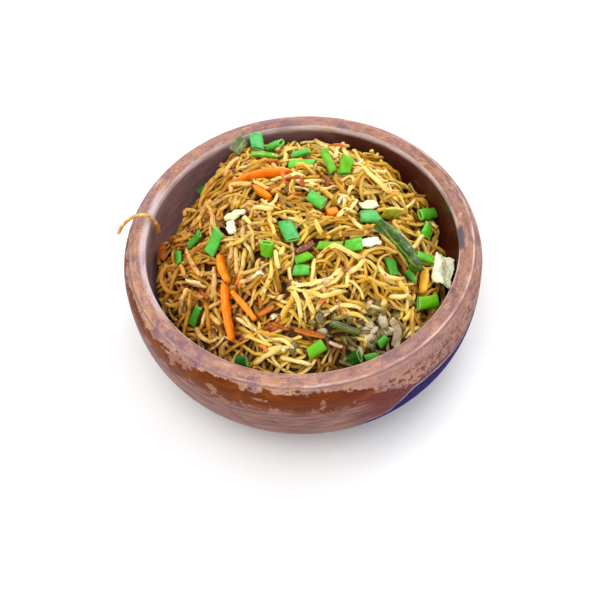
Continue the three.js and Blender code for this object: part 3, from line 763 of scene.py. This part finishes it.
def random_bends(count):
    """Most noodles are gently curved, some are hooked and a few curl right round."""
    kind = rng.random(count)
    gentle, hooked, curled = [rng.uniform(low, high, count) for low, high in BENDS]
    size = np.where(kind < GENTLE_SHARE, gentle, hooked)
    size = np.where(kind > 1 - CURLED_SHARE, curled, size)
    return np.radians(size * rng.choice([-1, 1], count))


def with_height(plan, height):
    return np.concatenate([plan, height[..., None]], axis=-1)


def pile_noodles(pile):
    """Lays the noodles one by one, each where the heap is still lowest of a few random tries."""
    tries, tries_kept, fewest_points = 12, 4, 8
    farthest, crossing_share, overfull = 67, 0.02, 0.6
    for _ in range(NOODLE_COUNT):
        radius = rng.uniform(*NOODLE_RADII)
        reach = farthest * np.sqrt(rng.random(tries))
        bearing = rng.uniform(0, TURN, tries)
        plan = plan_strands(
            reach * np.cos(bearing),
            reach * np.sin(bearing),
            rng.uniform(0, TURN, tries),
            np.full(tries, rng.uniform(*NOODLE_LENGTHS)),
            random_bends(tries),
        )
        cross = rng.random() < crossing_share
        paths = with_height(plan, pile.relax(plan, radius, cross))
        clear = pile.free(paths, radius, cross)
        missing = pile.missing(paths, radius)
        score = np.where(missing > -overfull, np.maximum(missing, 0.05), 3 * missing)
        total = np.where(clear, score, 0).sum(axis=1)
        for best in np.argsort(-total)[:tries_kept]:
            start, end = longest_run(clear[best])
            if end - start >= fewest_points and total[best] > 0:
                depth = np.clip(missing[best][start:end] / (NOODLE_COVER + UNDERLAY), 0, 1).mean()
                pile.lay(paths[best][start:end], radius, depth)
                break


# Noodles that stand out on the heap, as points along them at pixels of the picture
SEEN_NOODLES = [
    ((277, 218), (275, 237), (276, 256), (279, 277)),
    ((286, 244), (281, 258), (278, 272)),
    ((272, 262), (272, 278), (267, 292), (261, 296)),
    ((285, 288), (279, 299), (275, 315), (272, 336)),
    ((287, 285), (299, 292), (314, 294), (330, 288), (344, 273)),
    ((289, 281), (303, 288), (318, 290), (333, 282), (341, 270)),
    ((312, 297), (322, 302), (334, 299), (343, 296)),
    ((224, 257), (225, 251), (238, 247), (252, 238)),
    ((241, 223), (252, 231), (266, 242)),
    ((253, 229), (255, 216), (267, 215), (282, 216)),
    ((301, 208), (312, 218), (320, 231), (328, 239)),
    ((234, 276), (246, 274), (260, 269)),
    ((235, 286), (248, 284), (261, 277)),
    ((236, 250), (236, 262), (237, 272)),
    ((294, 296), (299, 306), (302, 320)),
    ((304, 295), (309, 305), (315, 316)),
    ((311, 287), (313, 275), (315, 262)),
    ((323, 313), (336, 307), (352, 306), (367, 313)),
    ((344, 318), (360, 317), (372, 329)),
    ((391, 303), (392, 313), (398, 320), (406, 320), (410, 309)),
    ((264, 353), (280, 352), (303, 353)),
    ((254, 366), (268, 359), (282, 354)),
    ((281, 360), (296, 363), (312, 365)),
    ((295, 340), (305, 354), (318, 368)),
    ((272, 340), (283, 343), (291, 354)),
    ((239, 332), (254, 341), (272, 350)),
    ((223, 354), (225, 344), (245, 339)),
    ((441, 211), (439, 222), (443, 233)),
    ((449, 206), (444, 209), (440, 214)),
    ((409, 249), (426, 241), (447, 234)),
    ((389, 297), (402, 301), (416, 302)),
    ((366, 310), (377, 315), (386, 319)),
    ((317, 258), (335, 253), (360, 260)),
    ((360, 195), (354, 206), (344, 216)),
    ((338, 221), (345, 215), (360, 212)),
    ((409, 295), (412, 286), (416, 278)),
    ((201, 200), (213, 187), (226, 181)),
    ((226, 176), (233, 164), (239, 158)),
    ((284, 178), (300, 173), (316, 173)),
    ((271, 179), (286, 182), (306, 179)),
    ((291, 200), (293, 188), (303, 184), (321, 181)),
    ((314, 141), (321, 147), (327, 153)),
    ((339, 139), (337, 153), (335, 162)),
    ((344, 142), (343, 152), (348, 160)),
    ((354, 176), (371, 187), (390, 200)),
    ((231, 195), (233, 189), (251, 185)),
    ((181, 268), (185, 280), (188, 295)),
    ((186, 252), (191, 263), (199, 275)),
    ((183, 318), (194, 326), (202, 339), (211, 344), (217, 338)),
    ((178, 329), (191, 329), (205, 328)),
    ((179, 312), (185, 307), (190, 300)),
    ((214, 269), (215, 282), (211, 296)),
    ((200, 211), (211, 217), (214, 230), (211, 237)),
    ((198, 211), (188, 217), (186, 224)),
    ((365, 262), (358, 272), (350, 280)),
    ((378, 268), (384, 280), (398, 284), (404, 276)),
    ((352, 222), (364, 233), (368, 247)),
    ((420, 210), (430, 222), (436, 232)),
]
SEEN_BROWNED = [
    ((178, 270), (167, 275), (163, 287), (168, 297), (178, 298), (185, 293)),
    ((206, 301), (208, 316), (210, 334)),
    ((235, 290), (248, 288), (262, 281)),
    ((276, 262), (276, 274), (280, 286)),
]


def seen_noodles(pile):
    """The noodles seen in the photo, laid on the heap where they are seen."""
    spacing, fewest_points = 1.6, 4
    for number, seen in enumerate([*SEEN_BROWNED, *SEEN_NOODLES]):
        places = np.array([on_heap(*pixel)[:2] for pixel in seen])
        plan = spline(places, max(8, int(path_length(places) / spacing)))[None]
        radius = rng.uniform(*SEEN_RADII)
        path = with_height(plan, pile.relax(plan, radius))[0]
        kind = "browned" if number < len(SEEN_BROWNED) else rng.choice(["pale", "golden"], p=[0.7, 0.3])
        pile.lay_free(path, radius, fewest_points, kind)


def lone_strand(farthest, lengths, bent):
    """The plan of one strand within farthest of the middle of the bowl, and its radius."""
    reach, bearing = farthest * math.sqrt(rng.random()), rng.uniform(0, TURN)
    values = [reach * math.cos(bearing), reach * math.sin(bearing), rng.uniform(0, TURN)]
    values += [rng.uniform(*lengths), random_bends(1)[0] * bent]
    return plan_strands(*[np.array([value]) for value in values]), rng.uniform(*NOODLE_RADII)


def top_noodles(pile, count=130):
    """Longer noodles laid last, over the others, some of them arched."""
    tries, most_above = 40 * count, 1.6
    for _ in range(tries):
        if count == 0:
            break
        plan, radius = lone_strand(62, (16, 46), 1)
        height = pile.relax(plan, radius)
        arch = rng.uniform(0, 2.2) * np.sin(np.linspace(0, np.pi, height.shape[1]))
        path = with_height(plan, height + arch)[0]
        if -pile.missing(path, radius).mean() < most_above and pile.free(path, radius).all():
            pile.lay(path, radius)
            count -= 1


def loose_ends(pile, count=100):
    """Noodles with one end sticking up out of the heap."""
    buried, fewest_points = 0.6, 12
    while count > 0:
        plan, radius = lone_strand(64, (8, 18), 0.6)
        height = pile.relax(plan, radius) - buried
        lift = rng.uniform(1.5, 4.5) * np.linspace(0, 1, height.shape[1]) ** 2
        path = with_height(plan, height + lift)[0]
        count -= pile.lay_free(path, radius, fewest_points)


# Each kind's share of the noodles, and its light, middle and dark colour
NOODLE_KINDS = {
    "pale": (0.40, (244, 224, 152), (238, 206, 106), (214, 168, 52)),
    "golden": (0.36, (242, 212, 106), (230, 186, 58), (198, 142, 22)),
    "tan": (0.17, (232, 196, 88), (210, 162, 44), (160, 106, 12)),
    "browned": (0.07, (202, 152, 44), (164, 110, 16), (110, 66, 2)),
}


def soaked_share(s, seen, reach, mottle):
    """How wet and dark a point is from its nearness to a place seen in the picture."""
    x, y, _ = on_heap(*seen)
    over, back = s.math("SUBTRACT", s.x, x), s.math("SUBTRACT", s.y, y)
    away = s.math("SQRT", s.plus(s.times(over, over), s.times(back, back)))
    return s.step(s.plus(away, s.swing(mottle, 8)), reach * 0.6, reach, 0.8, 0)


def noodle_material(name, light, middle, dark):
    """A crisp fried noodle: edges paler, partly crisp and partly a painted highlight, streaks along it,
    oily, browner towards its ends.
    """
    s = Shader(name)
    tone, sideways = s.attribute("tone"), s.attribute("sideways")
    mottle = s.noise(3.0, 4, 0.6)
    along = s.plus(s.times(s.attribute("lengthwise"), 0.16), s.times(tone, 97))
    streaks = s.noise(1.1, 3, 0.6, s.combined(along, sideways, s.attribute("upwards")))
    value = s.plus(s.times(tone, 0.55), s.times(mottle, 0.35), s.swing(streaks, 1.1))
    # Paler along both edges, a little darker in the middle: partly crisp edges, partly painted highlight.
    value = s.plus(value, s.step(s.math("ABSOLUTE", sideways), 0.3, 1.0, -0.07, 0.16))
    colour = s.ramp(value, (0.16, dark), (0.46, middle), (0.80, light))
    colour = s.mix(s.times(s.attribute("tip"), 0.4), colour, dark)
    colour = s.layered(colour, (s.noise(6, 4, 0.55), 0.54, 0.70, 0.5, (192, 124, 14)))
    sauced = s.times(s.step(s.x, -8, -44), s.step(mottle, 0.35, 0.6, 0.2, 0.75))
    colour = s.mix(sauced, colour, (178, 104, 26))
    for seen, reach in SOAKED:
        colour = s.mix(soaked_share(s, seen, reach, mottle), colour, (92, 74, 24))
    # Deeper noodles browner: partly sauce, partly painted shade in the gaps between them.
    colour = s.layered(colour, (s.attribute("depth"), 0.10, 0.6, 0.82, (150, 94, 10)))
    return s.finish(
        Base_Color=colour,
        Roughness=s.step(s.noise(0.8, 4, 0.6), 0.3, 0.7, 0.28, 0.5),
        Normal=s.bump(s.plus(s.times(streaks, 1.5), mottle), 0.5, 0.25),
        Subsurface_Weight=0.15,
        Subsurface_Radius=(1.0, 0.65, 0.25),
        Subsurface_Scale=1.0 * MM,
        Specular_IOR_Level=0.3,
        Coat_Weight=0.08,
        Coat_Roughness=0.2,
    )


# Dark brown body under the noodles: partly sauce, partly painted shade seen through the gaps.
def core_material():
    s = Shader("sauce_and_shade_core")
    lumps = s.noise(3, 6, 0.65)
    colour = s.ramp(lumps, (0.3, (48, 22, 0)), (0.55, (98, 54, 6)), (0.75, (140, 86, 16)))
    return s.finish(Base_Color=colour, Roughness=0.35, Normal=s.bump(lumps, 0.8, 1.5))


def make_noodles(strands):
    names = list(NOODLE_KINDS)
    shares = [NOODLE_KINDS[name][0] for name in names]
    gathered = {name: Gathered() for name in names}
    bulge, waver, turning = 0.1, 0.22, 0.5
    for path, radius, depth, kind in strands:
        length = path_length(path)
        count = max(5, int(length / SEGMENT) + 1)
        along = np.linspace(0, length, count)
        swell = 1 + bulge * np.sin(along / rng.uniform(1.2, 2.5) + rng.uniform(0, 6))
        swell *= rng.uniform(0.93, 1.04, count)
        wander = rng.normal(0, waver, (count + 2, 3))
        wander = wander[:-2] * 0.25 + wander[1:-1] * 0.5 + wander[2:] * 0.25
        turn = rng.normal(0, turning)
        waves = np.sin(along / rng.uniform(3, 8) + rng.uniform(0, 6))
        twist = turn + turning * waves
        flatness = rng.uniform(*NOODLE_FLATNESS)
        path = spline(path, count) + wander
        points, faces = tube(path, radius * swell, NOODLE_SIDES, flatness, twist)
        seen = kind is not None
        kind = kind or names[rng.choice(len(names), p=shares)]
        tone = rng.uniform(0.5, 1.0) if seen else rng.random()
        values = strand_values(along, NOODLE_SIDES)
        gathered[kind].add(points, faces, tone=tone, depth=depth, **values)
    for name in names:
        material = noodle_material(f"noodle_{name}", *NOODLE_KINDS[name][1:])
        gathered[name].piece(f"noodles_{name}", material, "noodle", ["noodle_heap"])


# One noodle hangs over the left of the rim.
RIM_NOODLE = [
    (-64.2, 19.6, 46.6), (-64.6, 19.2, 54), (-67.6, 18.8, 60.5),
    (-73.2, 17.8, 61.9), (-78.6, 16.2, 58.8), (-81.8, 15, 54),
]


def make_rim_noodle(material):
    path = spline(RIM_NOODLE, 40)
    sides, radius, flatness, twist = 12, 1.0, 0.8, 0.3
    points, faces = tube(path, radius, sides, flatness, twist)
    steps = np.linalg.norm(np.diff(path, axis=0), axis=1)
    values = strand_values(np.concatenate([[0], np.cumsum(steps)]), sides)
    nodes = ["rim_noodle"]
    add_piece("rim_noodle_strand", points, faces, material, "noodle", nodes, tone=0.6, depth=0, **values)


# ---- cut vegetables


def nodes_of(kind):
    return sorted(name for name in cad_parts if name.startswith(kind))


def piece_number(name):
    return int(name.rsplit("_", 1)[1])


def tube_frame(name):
    """Centre, axes and size of a straight leaf tube, read from its solid."""
    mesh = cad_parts[name].data
    corners = np.array([v.co for v in mesh.vertices]) / MM
    best = None
    for edge in mesh.edges:
        a, b = corners[list(edge.vertices)]
        length = np.linalg.norm(b - a)
        if length < 1e-3:
            continue
        axis = (b - a) / length
        along = corners @ axis
        middle, half = (along.min() + along.max()) / 2, (along.max() - along.min()) / 2
        error = np.abs(np.abs(along - middle) - half).max()
        if best is None or error < best[0]:
            best = (error, axis, middle, half)
    _, axis, middle, half = best
    centre = corners.mean(0)
    centre += axis * (middle - centre @ axis)
    section = corners - centre
    section -= np.outer(section @ axis, axis)
    across = np.linalg.svd(section, full_matrices=False)[2][0]
    above = np.cross(axis, across)
    if above[2] < 0:
        across, above = -across, -above
    width, height = 2 * np.abs(section @ across).max(), 2 * np.abs(section @ above).max()
    return centre, axis, across, above, 2 * half, width, height


# Kinds of leaf: the numbers of its pieces, its colour, and the lighter colour of its upper face, a painted
# highlight
LEAF_KINDS = (
    ((1, 8, 14), (74, 170, 62), (88, 184, 104)),  # mint
    ((2, 5, 10, 13, 21), (78, 172, 42), (98, 196, 84)),  # aqua
    ((7, 11, 12, 18, 20, 24, 25), (98, 178, 0), (108, 184, 6)),  # lime
    ((3, 4, 6, 22, 23, 27, 28, 29), (60, 138, 18), (84, 168, 50)),  # dark
    ((26, 30), (30, 86, 16), (38, 106, 32)),  # deep
    ((9, 15, 16, 17, 19), (96, 192, 32), (108, 204, 66)),  # fresh
)


def make_leaf(name, material):
    """A cut piece of spring onion leaf: a flattened hollow tube with slanting ends."""
    centre, axis, across, above, length, width, height = tube_frame(name)
    number = piece_number(name)
    own = np.random.default_rng(100 + number)
    around, along = 40, 14
    wall, end_rounding, last_share, pinch_width = 0.7, 0.12, 0.98, 0.3
    inside_size = 0.94  # of the solid's, so that bows and slants stay within it
    slants = own.uniform(-0.4, 0.4, 2)
    bow = own.uniform(-0.4, 0.4)
    twist = own.uniform(-0.2, 0.2)
    pinch = own.uniform(0.0, 0.35)
    lean = own.uniform(-0.25, 0.25)
    rings, outside, crosswise_shares = [], [], []
    shares = [*np.linspace(-1, 1, along), *np.linspace(1, -1, along)]
    for index, share in enumerate(shares):
        inner = index >= along
        inset = wall if inner else 0.0
        turn = circle(around) + twist * share
        cosine, sine = np.cos(turn), np.sin(turn)
        crosswise = np.sign(cosine) * np.abs(cosine) ** 0.9 * (width * inside_size / 2 - inset)
        upwise = np.sign(sine) * np.abs(sine) ** 0.86 * (height * inside_size / 2 - inset)
        dent = pinch * np.exp(-(((crosswise / width - lean) / pinch_width) ** 2))
        upwise *= 1 - dent * (0.6 + 0.4 * share)
        swell = 1 + 0.04 * math.sin(3 * share + number)
        rounding = end_rounding if abs(share) > last_share else 0.0
        slant = slants[0] if share < 0 else slants[1]
        lengthwise = share * length / 2 * 0.99 - np.sign(share) * rounding
        lengthwise = lengthwise + slant * crosswise * abs(share) ** 3
        upwise = upwise * swell + bow * (1 - share * share) - bow / 2
        ring = centre + np.outer(lengthwise, axis) + np.outer(crosswise * swell, across)
        rings.append(ring + np.outer(upwise, above))
        outside += [0.0 if inner else 1.0] * around
        crosswise_shares += list(2 * crosswise / width)
    faces = ring_faces(2 * along, around, closed=False)
    last = (2 * along - 1) * around
    for side, after in enumerate([*range(1, around), 0]):
        faces.append((last + side, last + after, after, side))
    if np.dot(np.cross(axis, across), above) <= 0:
        faces = [face[::-1] for face in faces]
    shade, top_shade = next(colours for numbers, *colours in LEAF_KINDS if number in numbers)
    add_piece(
        f"{name}_leaf", np.vstack(rings), faces, material, "scallion", [name],
        shade=srgb(*shade), top_shade=srgb(*top_shade), outside=outside,
        along=np.repeat(shares, around), across=crosswise_shares,
    )


def leaf_material():
    """Smooth waxy green leaf: a painted highlight on its upper face, paler inside and along its cut edges.
    """
    s = Shader("spring_onion_leaf")
    facing = s.add("ShaderNodeTexCoord").outputs["Normal"]
    upward = s.add("ShaderNodeSeparateXYZ", {0: facing}).outputs[2]
    mottle = s.noise(4, 4, 0.6)
    shade = s.attribute("shade", "Color")
    across = s.plus(s.attribute("across"), s.swing(mottle, 1.4))
    # The upper face takes its lighter colour as a painted highlight from above.
    colour = s.layered(
        shade,
        (s.plus(upward, s.swing(mottle, 0.4)), 0.55, 0.95, 1, s.attribute("top_shade", "Color")),
        (across, -0.1, -0.75, 0.6, shade),
    )
    colour = s.layered(
        colour,
        (mottle, 0.42, 0.7, 0.7, s.tinted(colour, (160, 190, 130))),
        (s.math("ABSOLUTE", s.attribute("along")), 0.88, 1.0, 0.35, (160, 224, 120)),
        (s.attribute("outside"), 1, 0, 0.5, (150, 206, 90)),
    )
    return s.finish(
        Base_Color=colour,
        Roughness=0.38,
        Normal=s.bump(s.plus(s.noise(0.8, 3, 0.5), mottle), 0.2, 0.2),
        Subsurface_Weight=0.3,
        Subsurface_Radius=(0.4, 1.0, 0.3),
        Subsurface_Scale=1.0 * MM,
        Specular_IOR_Level=0.22,
        Coat_Weight=0.07,
        Coat_Roughness=0.22,
    )


def refined(name, levels, crease, roughen, scale):
    """A finer copy of a CAD solid: quads, creased edges, subdivided and made slightly uneven."""
    bm = bmesh.new()
    bm.from_mesh(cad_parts[name].data)
    bmesh.ops.remove_doubles(bm, verts=bm.verts, dist=1e-5)
    bmesh.ops.join_triangles(
        bm, faces=bm.faces, angle_face_threshold=math.radians(40), angle_shape_threshold=math.pi
    )
    layer = bm.edges.layers.float.get("crease_edge") or bm.edges.layers.float.new("crease_edge")
    for edge in bm.edges:
        if len(edge.link_faces) == 2 and edge.calc_face_angle(0) > math.radians(50):
            edge[layer] = crease
    mesh = bpy.data.meshes.new(name)
    bm.to_mesh(mesh)
    bm.free()
    temporary = bpy.data.objects.new(name + "_work", mesh)
    bpy.context.scene.collection.objects.link(temporary)
    modifier = temporary.modifiers.new("finer", "SUBSURF")
    modifier.levels = modifier.render_levels = levels
    graph = bpy.context.evaluated_depsgraph_get()
    made = bpy.data.meshes.new_from_object(temporary.evaluated_get(graph))
    bpy.data.objects.remove(temporary)
    points = np.array([v.co for v in made.vertices]) / MM
    normals = np.array([v.normal for v in made.vertices])
    shift = np.array([noise.fractal(Vector(p / scale), 0.8, 2.0, 3) for p in points])
    points = points + normals * (shift * roughen)[:, None]
    faces = [tuple(polygon.vertices) for polygon in made.polygons]
    bpy.data.meshes.remove(made)
    middle = points - points.mean(0)
    directions = np.linalg.svd(middle, full_matrices=False)[2]
    up = directions[2] if directions[2][2] > 0 else -directions[2]
    values = {"skin": np.clip(normals @ up * 0.5 + 0.5, 0, 1)}
    for key, direction in (("along", directions[0]), ("across", directions[1])):
        reach = middle @ direction
        values[key] = reach / np.abs(reach).max()
    return points, faces, values


def make_refined(kind, material, shades, *fineness):
    for name in nodes_of(kind):
        points, faces, values = refined(name, *fineness)
        shade = srgb(*shades[(piece_number(name) - 1) % len(shades)])
        add_piece(f"{name}_cut", points, faces, material, kind, [name], shade=shade, **values)


def vegetable_material(name, rough, coat, scatter, fibre, pale, relief=0.3, deepen=(190, 160, 130)):
    """Cut vegetable flesh in the piece's own colour, mottled, with fibres, paler under the skin."""
    s = Shader(name)
    shade = s.attribute("shade", "Color")
    mottle = s.noise(3, 5, 0.6)
    fibres = s.noise(fibre, 3, 0.5, distortion=0.6)
    colour = s.layered(
        shade,
        (mottle, 0.40, 0.68, 0.8, s.tinted(shade, deepen)),
        (fibres, 0.55, 0.75, 0.4, pale),
        (s.attribute("skin"), 0.6, 0.25, 0.45, pale),
    )
    return s.finish(
        Base_Color=colour,
        Roughness=rough,
        Normal=s.bump(s.plus(fibres, mottle), relief, 0.25),
        Subsurface_Weight=scatter,
        Subsurface_Radius=(1.0, 0.6, 0.3),
        Subsurface_Scale=1.5 * MM,
        Specular_IOR_Level=0.3,
        Coat_Weight=coat,
        Coat_Roughness=0.1,
    )


def glossy_skin_material():
    """Cooked green pepper: dark glossy skin with a long pale streak on some pieces."""
    s = Shader("capsicum_skin")
    shade = s.attribute("shade", "Color")
    mottle = s.noise(3.5, 5, 0.6)
    colour = s.layered(
        shade,
        (mottle, 0.40, 0.62, 0.8, s.tinted(shade, (170, 190, 150))),
        (mottle, 0.46, 0.36, 0.35, s.mix(1.0, shade, (190, 200, 120), "SCREEN")),
    )
    streak = s.band(s.plus(s.attribute("across"), s.swing(mottle, 0.5)), -0.1, 0.02, 0.1, 0.24)
    along = s.step(s.math("ABSOLUTE", s.attribute("along")), 0.6, 0.9, 1, 0)
    colour = s.mix(s.times(streak, along, 0.55), colour, (170, 176, 110))
    colour = s.layered(colour, (s.attribute("skin"), 0.5, 0.2, 0.5, (120, 150, 50)))
    normal = s.bump(mottle, 0.4, 0.4)
    return s.finish(
        Base_Color=colour, Roughness=0.2, Normal=normal, Coat_Weight=0.55, Coat_Roughness=0.08
    )


CARROT_SHADES = [
    (255, 136, 0), (250, 138, 0), (186, 90, 8), (152, 84, 8), (142, 72, 2), (255, 146, 2),
    (255, 132, 0), (252, 142, 0), (170, 96, 6), (252, 140, 0), (158, 78, 8), (250, 186, 64),
]
CAPSICUM_SHADES = [(44, 92, 4), (222, 200, 6), (108, 188, 4), (92, 90, 40), (110, 116, 72)]
CABBAGE_SHADES = [
    (255, 255, 222), (250, 248, 208), (250, 255, 244), (250, 246, 200), (250, 252, 232),
]
ONION_SHADES = [(200, 184, 146), (222, 156, 146), (136, 72, 34), (255, 222, 158)]


def make_vegetables():
    leaf = leaf_material()
    for name in nodes_of("scallion"):
        make_leaf(name, leaf)
    orange, pale, clear = (255, 152, 6), (255, 255, 240), (232, 216, 186)
    carrot = vegetable_material("carrot_flesh", 0.42, 0.05, 0.15, 1.2, orange, 0.25, (240, 206, 80))
    make_refined("carrot", carrot, CARROT_SHADES, 3, 0.3, 0.3, 3.2)
    make_refined("capsicum", glossy_skin_material(), CAPSICUM_SHADES, 3, 0.4, 0.35, 4.0)
    cabbage = vegetable_material("cabbage_leaf", 0.4, 0.15, 0.3, 1.6, pale, 0.4, (240, 238, 190))
    make_refined("cabbage", cabbage, CABBAGE_SHADES, 4, 0.5, 0.6, 2.2)
    onion = vegetable_material("onion_flesh", 0.24, 0.4, 0.5, 1.5, clear, 0.2)
    make_refined("onion", onion, ONION_SHADES, 3, 0.4, 0.3, 3.0)


# ---- loose bits


def sliver(length, width, thickness, curl):
    """A small irregular curved flake, as (points, faces), its long axis along X."""
    steps, sides, end_width, blunt = 7, 8, 0.18, 0.1
    share = np.linspace(-1, 1, steps)
    outline = np.maximum(1 - np.abs(share) ** rng.uniform(2, 5), end_width)[:, None]
    x = share * length / 2
    bend = rng.uniform(-0.25, 0.25) * length * (share**2 - 0.4)
    lift = -curl * length * (share**2 - 0.4)
    cosine, sine = np.cos(circle(sides, 0.5)), np.sin(circle(sides, 0.5))
    y = bend[:, None] + cosine * (outline * width / 2)
    z = lift[:, None] + sine * (thickness / 2) * (0.6 + 0.4 * outline)
    z = z - np.abs(cosine) ** 2 * curl * width * 0.6
    rings = np.stack([np.repeat(x[:, None], sides, 1), y, z], axis=-1).reshape(-1, 3)
    caps = [(x[0] - blunt, bend[0], lift[0]), (x[-1] + blunt, bend[-1], lift[-1])]
    return np.vstack([rings, caps]), ring_faces(steps, sides)


def scatter(pile, name, slot, material, count, size, curl, shades, area, raise_by=0.2):
    """Slivers laid on the heap in area (x, y, spread x, spread y); size is lengths, widths, thickness."""
    gathered = Gathered()
    lengths, widths, thickness = size
    farthest, over_vegetables, step = 63, 0.15, 3
    while count > 0:
        x, y = rng.normal(area[0], area[2]), rng.normal(area[1], area[3])
        length, width = rng.uniform(*lengths), rng.uniform(*widths)
        if math.hypot(x, y) > farthest - length / 2:
            continue
        i, j = grid_index(np.array([x, y]))
        if np.isfinite(pile.near_high[i, j]) and rng.random() < 1 - over_vegetables:
            continue
        around = pile.surface[[i + step, i - step, i, i], [j, j, j + step, j - step]]
        slope = np.array([around[0] - around[1], around[2] - around[3]]) / (2 * step * CELL)
        normal = unit(np.array([-slope[0] * 0.5, -slope[1] * 0.5, 1.0]))
        heading = rng.uniform(0, TURN)
        along = np.array([math.cos(heading), math.sin(heading), 0.0])
        along = unit(along - normal * (along @ normal))
        points, faces = sliver(length, width, thickness, curl)
        base = np.array([x, y, np.mean(around) + raise_by])
        points = base + points @ np.array([along, np.cross(normal, along), normal])
        if points[:, 2].max() > TOP_LIMIT:
            continue
        shade = srgb(*shades[rng.integers(len(shades))])
        gathered.add(points, faces, shade=shade, skin=1, along=1, across=1)
        count -= 1
    gathered.piece(name, material, slot, ["noodle_heap"])


# Where bits lie together, as pixels of the picture and their spread over and back in mm
BROWN_PLACES = [((285, 181), (9, 2.5)), ((192, 290), (5, 6)), ((268, 320), (6, 5))]
DARK_PLACES = [((338, 336), (7, 4)), ((392, 337), (7, 4))]
ONION_BITS = [(206, 162, 112), (184, 130, 76), (226, 200, 164), (132, 76, 44)]
PALE_BITS = [(246, 238, 190), (248, 244, 214), (232, 220, 164)]
ORANGE_BITS = [(234, 132, 34), (212, 110, 26), (190, 98, 30)]
BROWN_BITS = [(200, 96, 34), (172, 84, 36), (222, 124, 44), (150, 70, 40)]
DARK_BITS = [(150, 140, 84), (112, 102, 44), (190, 178, 134), (84, 72, 24), (204, 190, 160)]
CRUMBS = [(222, 172, 96), (186, 124, 52), (150, 92, 34)]


def make_loose_bits(pile):
    onion = vegetable_material("onion_bits", 0.22, 0.5, 0.4, 1.5, (230, 206, 184), 0.2)
    pale = vegetable_material("cabbage_bits", 0.4, 0.1, 0.3, 2.5, (255, 255, 236), 0.15)
    orange = vegetable_material("carrot_bits", 0.4, 0.1, 0.2, 1.2, (250, 160, 60))
    green = vegetable_material("green_bits", 0.2, 0.7, 0.4, 1.5, (196, 190, 140), 0.3)
    crumb = vegetable_material("fried_crumbs", 0.5, 0.1, 0.1, 1.0, (220, 170, 90))
    everywhere = (0, -4, 36, 36)
    size = (3, 6), (1.4, 2.4), 0.9
    scatter(pile, "onion_bits", "onion", onion, 34, size, 0.12, ONION_BITS, everywhere)
    size = (3, 6), (1.8, 3.0), 0.8
    scatter(pile, "cabbage_bits", "cabbage", pale, 12, size, 0.04, PALE_BITS, everywhere)
    size = (5, 10), (1.2, 2.2), 0.9
    scatter(pile, "carrot_bits", "carrot", orange, 20, size, 0.06, ORANGE_BITS, everywhere)
    size = (5, 10), (1.6, 2.8), 0.9
    for number, (seen, spread) in enumerate(BROWN_PLACES, 1):
        area = (*on_heap(*seen)[:2], *spread)
        scatter(pile, f"brown_bits_{number}", "carrot", orange, 7, size, 0.05, BROWN_BITS, area)
    size = (4, 9), (2.2, 4.6), 0.7
    for number, (seen, spread) in enumerate(DARK_PLACES, 1):
        area = (*on_heap(*seen)[:2], *spread)
        scatter(pile, f"green_bits_{number}", "capsicum", green, 22, size, 0.16, DARK_BITS, area)
    size = (0.8, 2.2), (0.7, 1.5), 1.0
    scatter(pile, "fried_crumbs", "noodle", crumb, 260, size, 0.0, CRUMBS, everywhere, 0.3)


# ---- floor, lights and camera


def make_floor():
    bpy.ops.mesh.primitive_plane_add(size=6, location=(0, 0, -0.0002))
    floor = bpy.context.object
    floor.name = "floor"
    s = Shader("pale_floor")
    tint = s.ramp(s.noise(40, 2), (0.0, (240, 240, 241)), (1.0, (246, 246, 246)))
    floor.data.materials.append(s.finish(Base_Color=tint, Roughness=0.9))


def area_light(name, place, size, power, colour=(1, 1, 1)):
    """A square light, with its place and size in metres, turned to the middle of the dish."""
    light = bpy.data.lights.new(name, "AREA")
    light.size = size
    light.energy = power
    light.color = colour
    lamp = bpy.data.objects.new(name, light)
    lamp.location = place
    middle = Vector((0, 0, 0.04))
    lamp.rotation_euler = (middle - Vector(place)).to_track_quat("-Z", "Y").to_euler()
    bpy.context.scene.collection.objects.link(lamp)


def make_lights():
    area_light("window", (0.55, 0.75, 0.95), 0.7, 6.2, (1.0, 0.99, 0.97))
    area_light("low_window", (1.0, 0.75, 0.28), 0.5, 3.0, (0.93, 0.92, 1.0))
    area_light("ceiling", (-0.35, -0.25, 1.3), 1.0, 7)
    area_light("front", (-0.3, -1.2, 0.55), 0.9, 3)
    world = bpy.data.worlds.new("studio")
    world.use_nodes = True
    background = world.node_tree.nodes["Background"]
    background.inputs["Color"].default_value = (1, 1, 1, 1)
    background.inputs["Strength"].default_value = 0.96
    bpy.context.scene.world = world
    bpy.context.scene.view_settings.view_transform = "Standard"


def make_camera():
    """Looks down from the diner's side, tilted slightly clockwise."""
    data = bpy.data.cameras.new("camera")
    data.sensor_width = SENSOR
    data.lens = LENS
    camera = bpy.data.objects.new("camera", data)
    camera.matrix_world = Matrix.Translation(CAMERA_PLACE * MM) @ CAMERA_TURN.to_4x4()
    bpy.context.scene.collection.objects.link(camera)
    bpy.context.scene.camera = camera


# ---- the whole dish


def main():
    make_camera()
    make_bowl(bowl_material())
    make_core(core_material())
    vegetables = [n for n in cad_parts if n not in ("bowl", "noodle_heap", "rim_noodle")]
    pile = Pile([*vegetables, "rim_noodle"])
    pile_noodles(pile)
    top_noodles(pile)
    loose_ends(pile)
    seen_noodles(pile)
    make_noodles(pile.strands)
    make_rim_noodle(noodle_material("rim_noodle_skin", *NOODLE_KINDS["pale"][1:]))
    make_vegetables()
    make_loose_bits(pile)
    make_floor()
    make_lights()


main()
